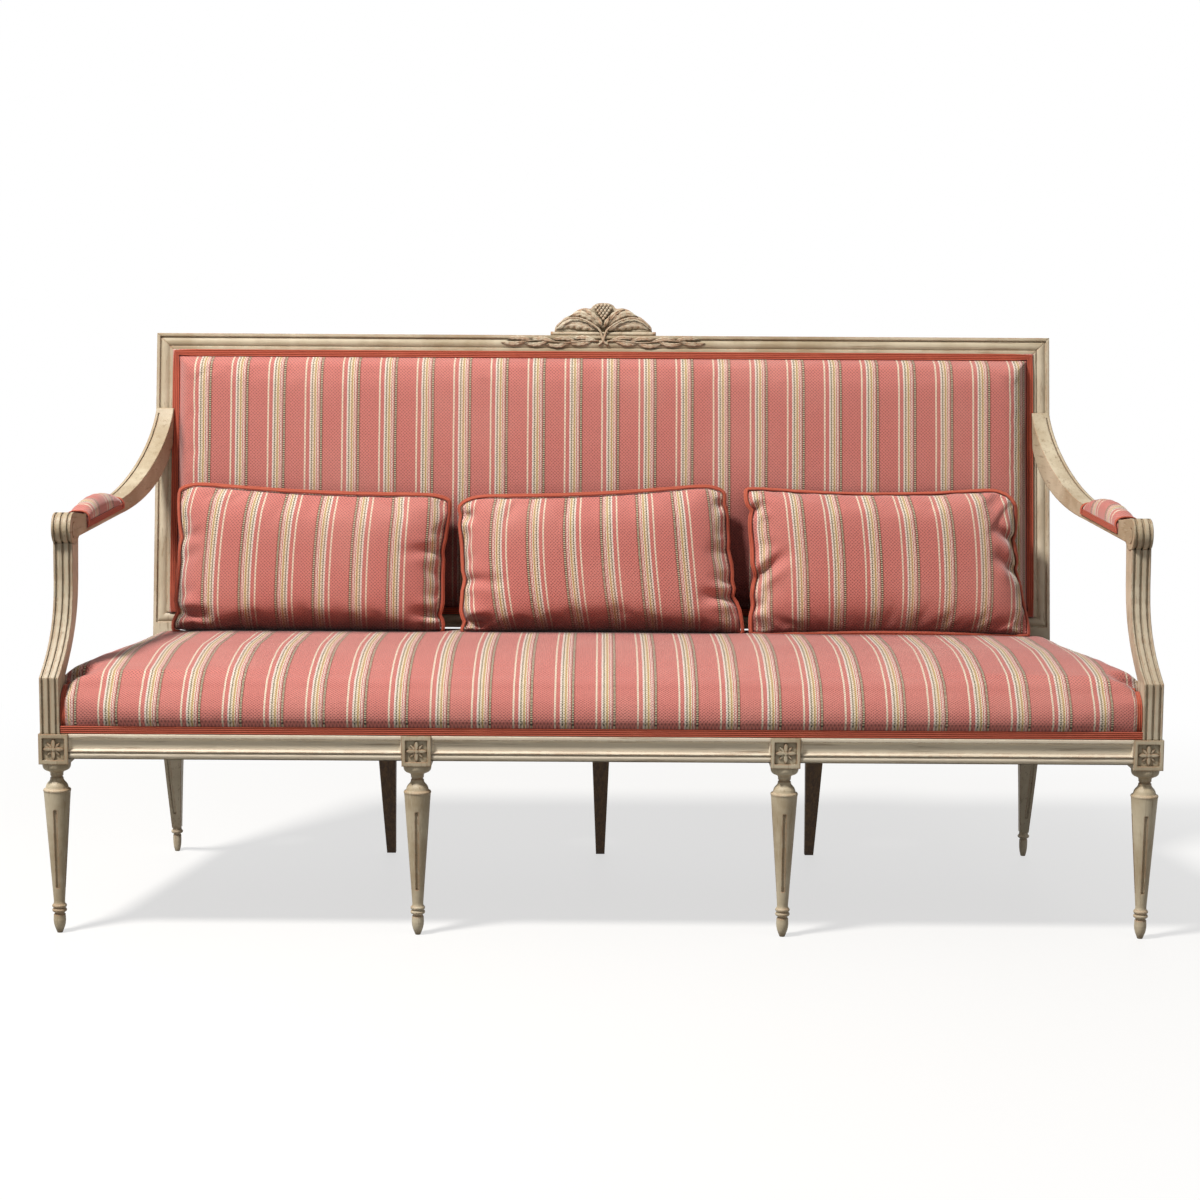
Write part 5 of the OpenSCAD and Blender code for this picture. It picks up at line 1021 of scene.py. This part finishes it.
# Along the foot of the seat's cover: front, rear and both sides
LIFTED = 0.0002
braid_z = RAIL_TOP + 0.0003 + BRAID_W / 2
front_wall = RAIL_FRONT + STUFF_IN - LIFTED
rear_wall = SEAT_REAR - STUFF_IN + LIFTED
front_end = NOTCH_X + NOTCH_OUT - STUFF_IN
rear_end = POST_IN - 0.006
side_angle = math.atan(SIDE_SLOPE)
seat_paths = [run((-front_end, front_wall, braid_z), (front_end, front_wall, braid_z), (0, -1, 0)),
              run((-rear_end, rear_wall, braid_z), (rear_end, rear_wall, braid_z), (0, 1, 0))]
for side in (-1, 1):
    ends = [(side * (side_x(y) - STUFF_IN + LIFTED), y, braid_z) for y in (NOTCH_Y + 0.006, BACK_Y - 0.012)]
    seat_paths.append(run(*ends, (side * math.cos(side_angle), math.sin(side_angle), 0)))
braid("seat_braid", seat_paths, "seat_gimp")

# Up the front corners of the seat, laid on the cloth from the foot to where it turns level
cover = BVHTree.FromPolygons([v.co for v in seat.data.vertices], [p.vertices[:] for p in seat.data.polygons])
foot_angle = math.atan2(RAIL_TOP + BRAID_W - ROUND_Z, MIDDLE_Y - front_wall)
strips = []
for side in (-1, 1):
    middle = Vector((side * (front_end - BRAID_W / 2), MIDDLE_Y, ROUND_Z))
    strip = []
    for angle in np.linspace(foot_angle, math.radians(20), 30):
        way = Vector((0, -math.cos(angle), math.sin(angle)))
        place, normal = cover.ray_cast(middle + way * 0.5, -way)[:2]
        strip.append((place + normal * LIFTED, Vector((0, normal.y, normal.z))))
    strips.append(strip)
braid("seat_corner_braid", strips)


def round_rectangle(x, low, high, inset=BRAID_W / 2):
    """The middle line of a braid inside the edge of a flat rectangle, mitred at its corners."""
    x, low, high = x - inset, low + inset, high - inset
    corners = [(-x, low), (x, low), (x, high), (-x, high)]
    line = []
    for a, b in zip(corners, corners[1:] + corners[:1]):
        count = max(2, int(math.dist(a, b) / 0.03))
        line += [Vector(a).lerp(Vector(b), i / count) for i in range(count)]
    return line


# Round the front and the rear of the back
out_of_back = (on_back.to_3x3() @ Vector((0, -1, 0))).normalized()
front_line = [(tilted(x, up, BORDER_H + 0.0003), out_of_back)
              for x, up in round_rectangle(PANEL_X, PANEL_LOW, PANEL_HIGH)]
rear_line = [(tilted(x, up, -UPRIGHT_REAR - OUTER_THICK), -out_of_back)
             for x, up in round_rectangle(POST_IN, FRAME_LOW, FRAME_HIGH)]
braid("back_braid", [front_line], "back_gimp", closed=True)
braid("back_outer_braid", [rear_line], "back_outer_gimp", closed=True)

# Along both flanks and over both ends of each arm pad
ARM_BRAID_W = 0.0112
end_share = ARM_BRAID_W / 2 / (PAD_Y1 - PAD_Y0)
for side, label in ((-1, "left"), (1, "right")):
    lines = []
    for flank in (-1, 1):
        line = []
        for t in np.linspace(0.0, 1.0, 24):
            y = pad_section(t)[0]
            x = side * (arm_middle(y) + flank * (ARM_W / 2 + 0.0021))
            line.append((Vector((x, y, band_foot(y) + ARM_BRAID_W / 2)), Vector((side * flank, 0, 0))))
        lines.append(line)
    for t in (end_share, 1 - end_share):
        y, section = pad_section(t, 0.0006)
        line = []
        for a, (x, z), b in zip(section, section[1:], section[2:]):
            way = Vector((b.y - a.y, a.x - b.x)).normalized()
            line.append((Vector((side * (arm_middle(y) + x), y, z)), Vector((side * way.x, 0, way.y))))
        lines.append(line)
    braid("arm_braid_" + label, lines, "arm_gimp_" + label, width=ARM_BRAID_W, thickness=0.0018)


# The three loose cushions: flat rectangles of the striped cloth sewn face to face and stuffed softly, with
# the coral gimp sewn over the seam like a cord. They lean on the back, and the cloth puckers along the seam.

CUSHION_W, CUSHION_H, CUSHION_T = 0.515, 0.260, 0.090
CUSHION_LEAN = math.radians(10)
CELLS_X, CELLS_Y = 92, 50
QUARTER = math.pi / 2


def cushion_plane(s, t):
    """Place of s, t from -1 to 1 in the cushion's own plane, as the CAD cushion is cut."""
    x = CUSHION_W / 2 * s * (1 - 0.035 * (1 - t * t)) * (1 - 0.02 * np.abs(s * t) ** 8)
    z = CUSHION_H / 2 * t * (1 - 0.049 * (1 - s * s)) * (1 - 0.04 * np.abs(s * t) ** 8)
    return x, z


def slid(share, other, angle):
    """Shares moved round the section by that angle, less towards the corners, and which pass the edge."""
    turned = np.arcsin(np.clip(share, -1, 1)) + angle * np.sqrt(np.clip(1 - other ** 2, 0, 1))
    return np.sin(turned), np.abs(turned) > QUARTER + 0.0001


def press_crease(co, start, end, depth):
    """Press a valley into both faces from a pucker in the seam, and draw the seam in where it starts."""
    length = math.dist(start, end)
    way_in = (np.array(end) - np.array(start)) / length
    rel = co[:, [0, 2]] - np.array(start)
    forward = rel @ way_in
    aside = rel @ np.array([-way_in[1], way_in[0]])
    reach = np.clip(forward / length, 0, 1)
    fade = np.cos(reach * QUARTER) * (forward > -0.02)
    valley = np.exp(-(aside / (0.0050 + 0.009 * reach)) ** 2) * fade ** 1.1
    ridge = np.exp(-((np.abs(aside) - 0.018) / 0.010) ** 2) * fade ** 2
    thickness = np.abs(co[:, 1])
    pressed = np.minimum(1.5 * depth * valley, 0.75 * thickness)
    pressed -= 0.45 * np.minimum(depth * ridge, thickness)
    co[:, 1] -= np.sign(co[:, 1]) * pressed * np.where(co[:, 1] < 0, 1.0, 0.6)
    pull = 0.65 * depth * np.exp(-(aside / 0.012) ** 2) * np.exp(-(forward / 0.014) ** 2)
    co[:, 0] += pull * way_in[0]
    co[:, 2] += pull * way_in[1]


def make_cushion(label, stripe, slide, corner_moves, droop, sway, creases):
    """One cushion and its piping. stripe is (repeat, shift, way) of the cloth, slide the angles by which the
    seam is slid sideways and upwards, corner_moves (x, z) from bottom left round to top left, droop how far
    the tips of the top corners hang, sway how far the stripes lean at the left and right, and creases
    (start, end, depth) in the cushion's plane."""
    low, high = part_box("cushion_cord_" + label)
    middle = (low + high) / 2
    lean = Matrix.Translation(middle) @ Matrix.Rotation(-CUSHION_LEAN, 4, "X")
    # The cells are finer towards the seam
    s, t = [np.sin(np.linspace(-1, 1, cells + 1) * QUARTER * 0.9) / math.sin(QUARTER * 0.9)
            for cells in (CELLS_X, CELLS_Y)]
    grid_s, grid_t = np.meshgrid(s, t)
    m, n = grid_s.shape
    inner = np.zeros((m, n), bool)
    inner[1:-1, 1:-1] = True
    co, places = [], []
    for face, shown in ((-1, np.ones((m, n), bool)), (1, inner)):
        new_s, over_s = slid(grid_s, grid_t, -face * slide[0])
        new_t, over_t = slid(grid_t, grid_s, -face * slide[1])
        x, z = cushion_plane(new_s, new_t)
        depth = CUSHION_T / 2 * 0.90 * np.sqrt(np.clip((1 - new_s ** 4) * (1 - new_t ** 4), 0, 1))
        y = face * depth * np.where(over_s | over_t, -1, 1)
        shares = [(1 + a * new_s) * (1 + b * new_t) / 4 for a, b in ((-1, -1), (1, -1), (1, 1), (-1, 1))]
        x = x + sum(share * move[0] for share, move in zip(shares, corner_moves))
        z = z + sum(share * move[1] for share, move in zip(shares, corner_moves))
        z = z - np.where(new_s < 0, droop[0], droop[1]) * np.abs(new_s) ** 14 * (1 + new_t) / 2
        # The weight of the stuffing fills the lower edge out to its full depth on the seat
        z = z - (0.0085 + 0.0064 * (1 - new_s ** 2)) * np.clip(-new_t, 0, 1) ** 2
        leaning = [a + b * new_t + c * new_t ** 2 for a, b, c in sway]
        place_x = x - leaning[0] * (1 - new_s) / 2 - leaning[1] * (1 + new_s) / 2
        co.append(np.stack([x[shown], y[shown], z[shown]], 1))
        places.append(np.stack([middle.x + place_x[shown], z[shown]], 1))
    front = np.arange(n * m).reshape(m, n)
    rear = np.where(inner, np.cumsum(inner.ravel()).reshape(m, n) - 1 + n * m, front)
    faces = []
    for j in range(m - 1):
        for i in range(n - 1):
            faces.append([front[j, i], front[j, i + 1], front[j + 1, i + 1], front[j + 1, i]])
            faces.append([rear[j, i], rear[j + 1, i], rear[j + 1, i + 1], rear[j, i + 1]])
    cloth = striped("cushion_cloth_" + label, *stripe)
    piece = new_piece("cushion_cover_" + label, np.concatenate(co), faces, cloth)
    rim = np.concatenate([front[0, :-1], front[:-1, -1], front[-1, :0:-1], front[:0:-1, 0]])
    held = np.zeros(len(piece.data.vertices))
    held[rim] = 1
    swell(piece, 5.0, 0.030, 0.010, held)
    modified(piece, "SMOOTH", iterations=3, factor=0.5)
    co = vectors_of(piece)
    for crease in creases:
        press_crease(co, *crease)
    put_points(piece, [lean @ Vector(p) for p in co])
    set_map(piece, np.concatenate(places))
    seam = [piece.data.vertices[int(k)] for k in rim[::2]]
    path = [(vertex.co + vertex.normal * 0.0006, vertex.normal.copy()) for vertex in seam]
    modified(piece, "SUBSURF", levels=1, render_levels=1)
    body = "loose_cushion_" + label
    fix(piece, "striped_cloth", "cushion_" + label, "cushion_insert_" + label, body=body)
    braid("cushion_piping_" + label, [path], "cushion_cord_" + label, body=body, closed=True,
          width=0.0096, arch=0.0046)


make_cushion("left", (0.0682, 0.0420, -1.0), (0.0, math.radians(-10)),
             [(-0.003, 0.0), (-0.011, 0.0), (0.0, -0.009), (0.006, 0.012)], (0.010, 0.006),
             [(0.0033, 0.0102, 0.0065), (-0.0006, 0.0034, 0.0028)],
             [((-0.248, -0.102), (-0.177, -0.110), 0.015), ((0.252, 0.018), (0.160, 0.010), 0.008),
              ((0.246, -0.102), (0.175, -0.102), 0.011), ((-0.248, 0.040), (-0.190, 0.045), 0.005)])
make_cushion("center", (0.0682, 0.0321, -1.0), (0.0, math.radians(-10)),
             [(0.000, 0.0), (0.015, 0.0), (-0.020, 0.014), (-0.006, -0.012)], (0.014, 0.012),
             [(-0.0006, -0.0039, 0.0124), (0.0009, -0.0143, 0.0013)],
             [((-0.250, -0.038), (-0.162, -0.046), 0.007), ((-0.248, -0.117), (-0.184, -0.117), 0.014),
              ((-0.252, 0.083), (-0.225, 0.078), 0.008), ((0.249, -0.067), (0.182, -0.067), 0.015),
              ((0.248, -0.037), (0.200, -0.037), 0.005), ((0.246, 0.020), (0.200, 0.022), 0.005),
              ((0.240, 0.108), (0.205, 0.100), 0.006)])
make_cushion("right", (0.0680, 0.0055, 1.0), (math.radians(7), math.radians(16)),
             [(0.006, 0.0), (0.015, 0.0), (-0.010, 0.010), (-0.004, 0.008)], (0.0, 0.026),
             [(0.0050, -0.0095, -0.0037), (0.0056, -0.0036, -0.0089)],
             [((0.238, 0.040), (0.197, 0.068), 0.013), ((0.246, -0.018), (0.197, 0.016), 0.013),
              ((-0.250, 0.092), (-0.218, 0.111), 0.011), ((-0.240, -0.031), (-0.175, 0.020), 0.013),
              ((-0.252, -0.085), (-0.210, -0.080), 0.006)])


# The view: the camera stands where the photograph was taken, over a plain pale floor, with a soft lamp
# high on the left, a large weak one high on the right, and an even dim world. Only the camera and
# reflections see floor and world as white.

scene = bpy.context.scene
camera_data = bpy.data.cameras.new("photo_camera")
camera_data.sensor_width = 36.0
camera_data.lens = 73.4805
camera_data.clip_end = 60
camera = new_object("photo_camera", camera_data)
camera.location = (-0.0033, -4.4129, 1.0660)
camera.rotation_euler = (Matrix.Rotation(math.radians(83.218), 3, "X")
                         @ Matrix.Rotation(math.radians(0.3333), 3, "Z")).to_euler()
scene.camera = camera

SEAT_MIDDLE = Vector((0, 0, 0.5))
for name, place, size, power, colour in (
        ("key_lamp", (-2.7, -2.3, 5.9), 1.0, 520, (1.0, 0.975, 0.945)),
        ("fill_lamp", (2.5, -2.5, 5.0), 3.0, 18, (1.0, 0.98, 0.96))):
    light = bpy.data.lights.new(name, "AREA")
    light.shape = "DISK"
    light.size = size
    light.energy = power
    light.color = colour
    lamp = new_object(name, light)
    lamp.location = place
    lamp.rotation_euler = (SEAT_MIDDLE - Vector(place)).to_track_quat("-Z", "Y").to_euler()


def seen_directly(tree):
    """1 for the camera and for reflections, and 0 for the light that falls on the settee."""
    rays = add(tree, "ShaderNodeLightPath", {}, "Is Camera Ray")
    return rays.maths("MAXIMUM", rays["Is Glossy Ray"].maths("MAXIMUM", rays["Is Transmission Ray"]))


floor_material, tree, shader = new_material("pale_floor")
seen = seen_directly(tree)
feed(shader, {"Base Color": mix(seen, srgb(120, 118, 115), srgb(236, 235, 232)), "Roughness": 0.6})
white = add(tree, "ShaderNodeEmission", {"Color": (1, 1, 1, 1), "Strength": 1.0})
place = add(tree, "ShaderNodeTexCoord", {}, "Object")
away = add(tree, "ShaderNodeVectorMath", {0: place}, "Value", operation="LENGTH")
whiteness = (between(away, 0.9, 2.6) * 0.35 + 0.65) * seen
mixed = add(tree, "ShaderNodeMixShader", {0: whiteness, 1: Wire(shader.outputs[0]), 2: white})
feed(tree.nodes["Material Output"], {"Surface": mixed})
HALF_FLOOR = 14.0
outer = [(x * HALF_FLOOR, y * HALF_FLOOR, 0) for x, y in ((-1, -1), (1, -1), (1, 1), (-1, 1))]
floor = new_piece("floor", outer, [[0, 1, 2, 3]], floor_material, False)

scene.world = bpy.data.worlds.new("pale_world")
scene.world.use_nodes = True
tree = scene.world.node_tree
feed(tree.nodes["Background"], {"Color": (1, 1, 1, 1), "Strength": seen_directly(tree) * 0.83 + 0.17})
scene.view_settings.view_transform = "Standard"


def corners(box):
    """A box as plain lists of numbers."""
    return [[float(value) for value in corner] for corner in box]
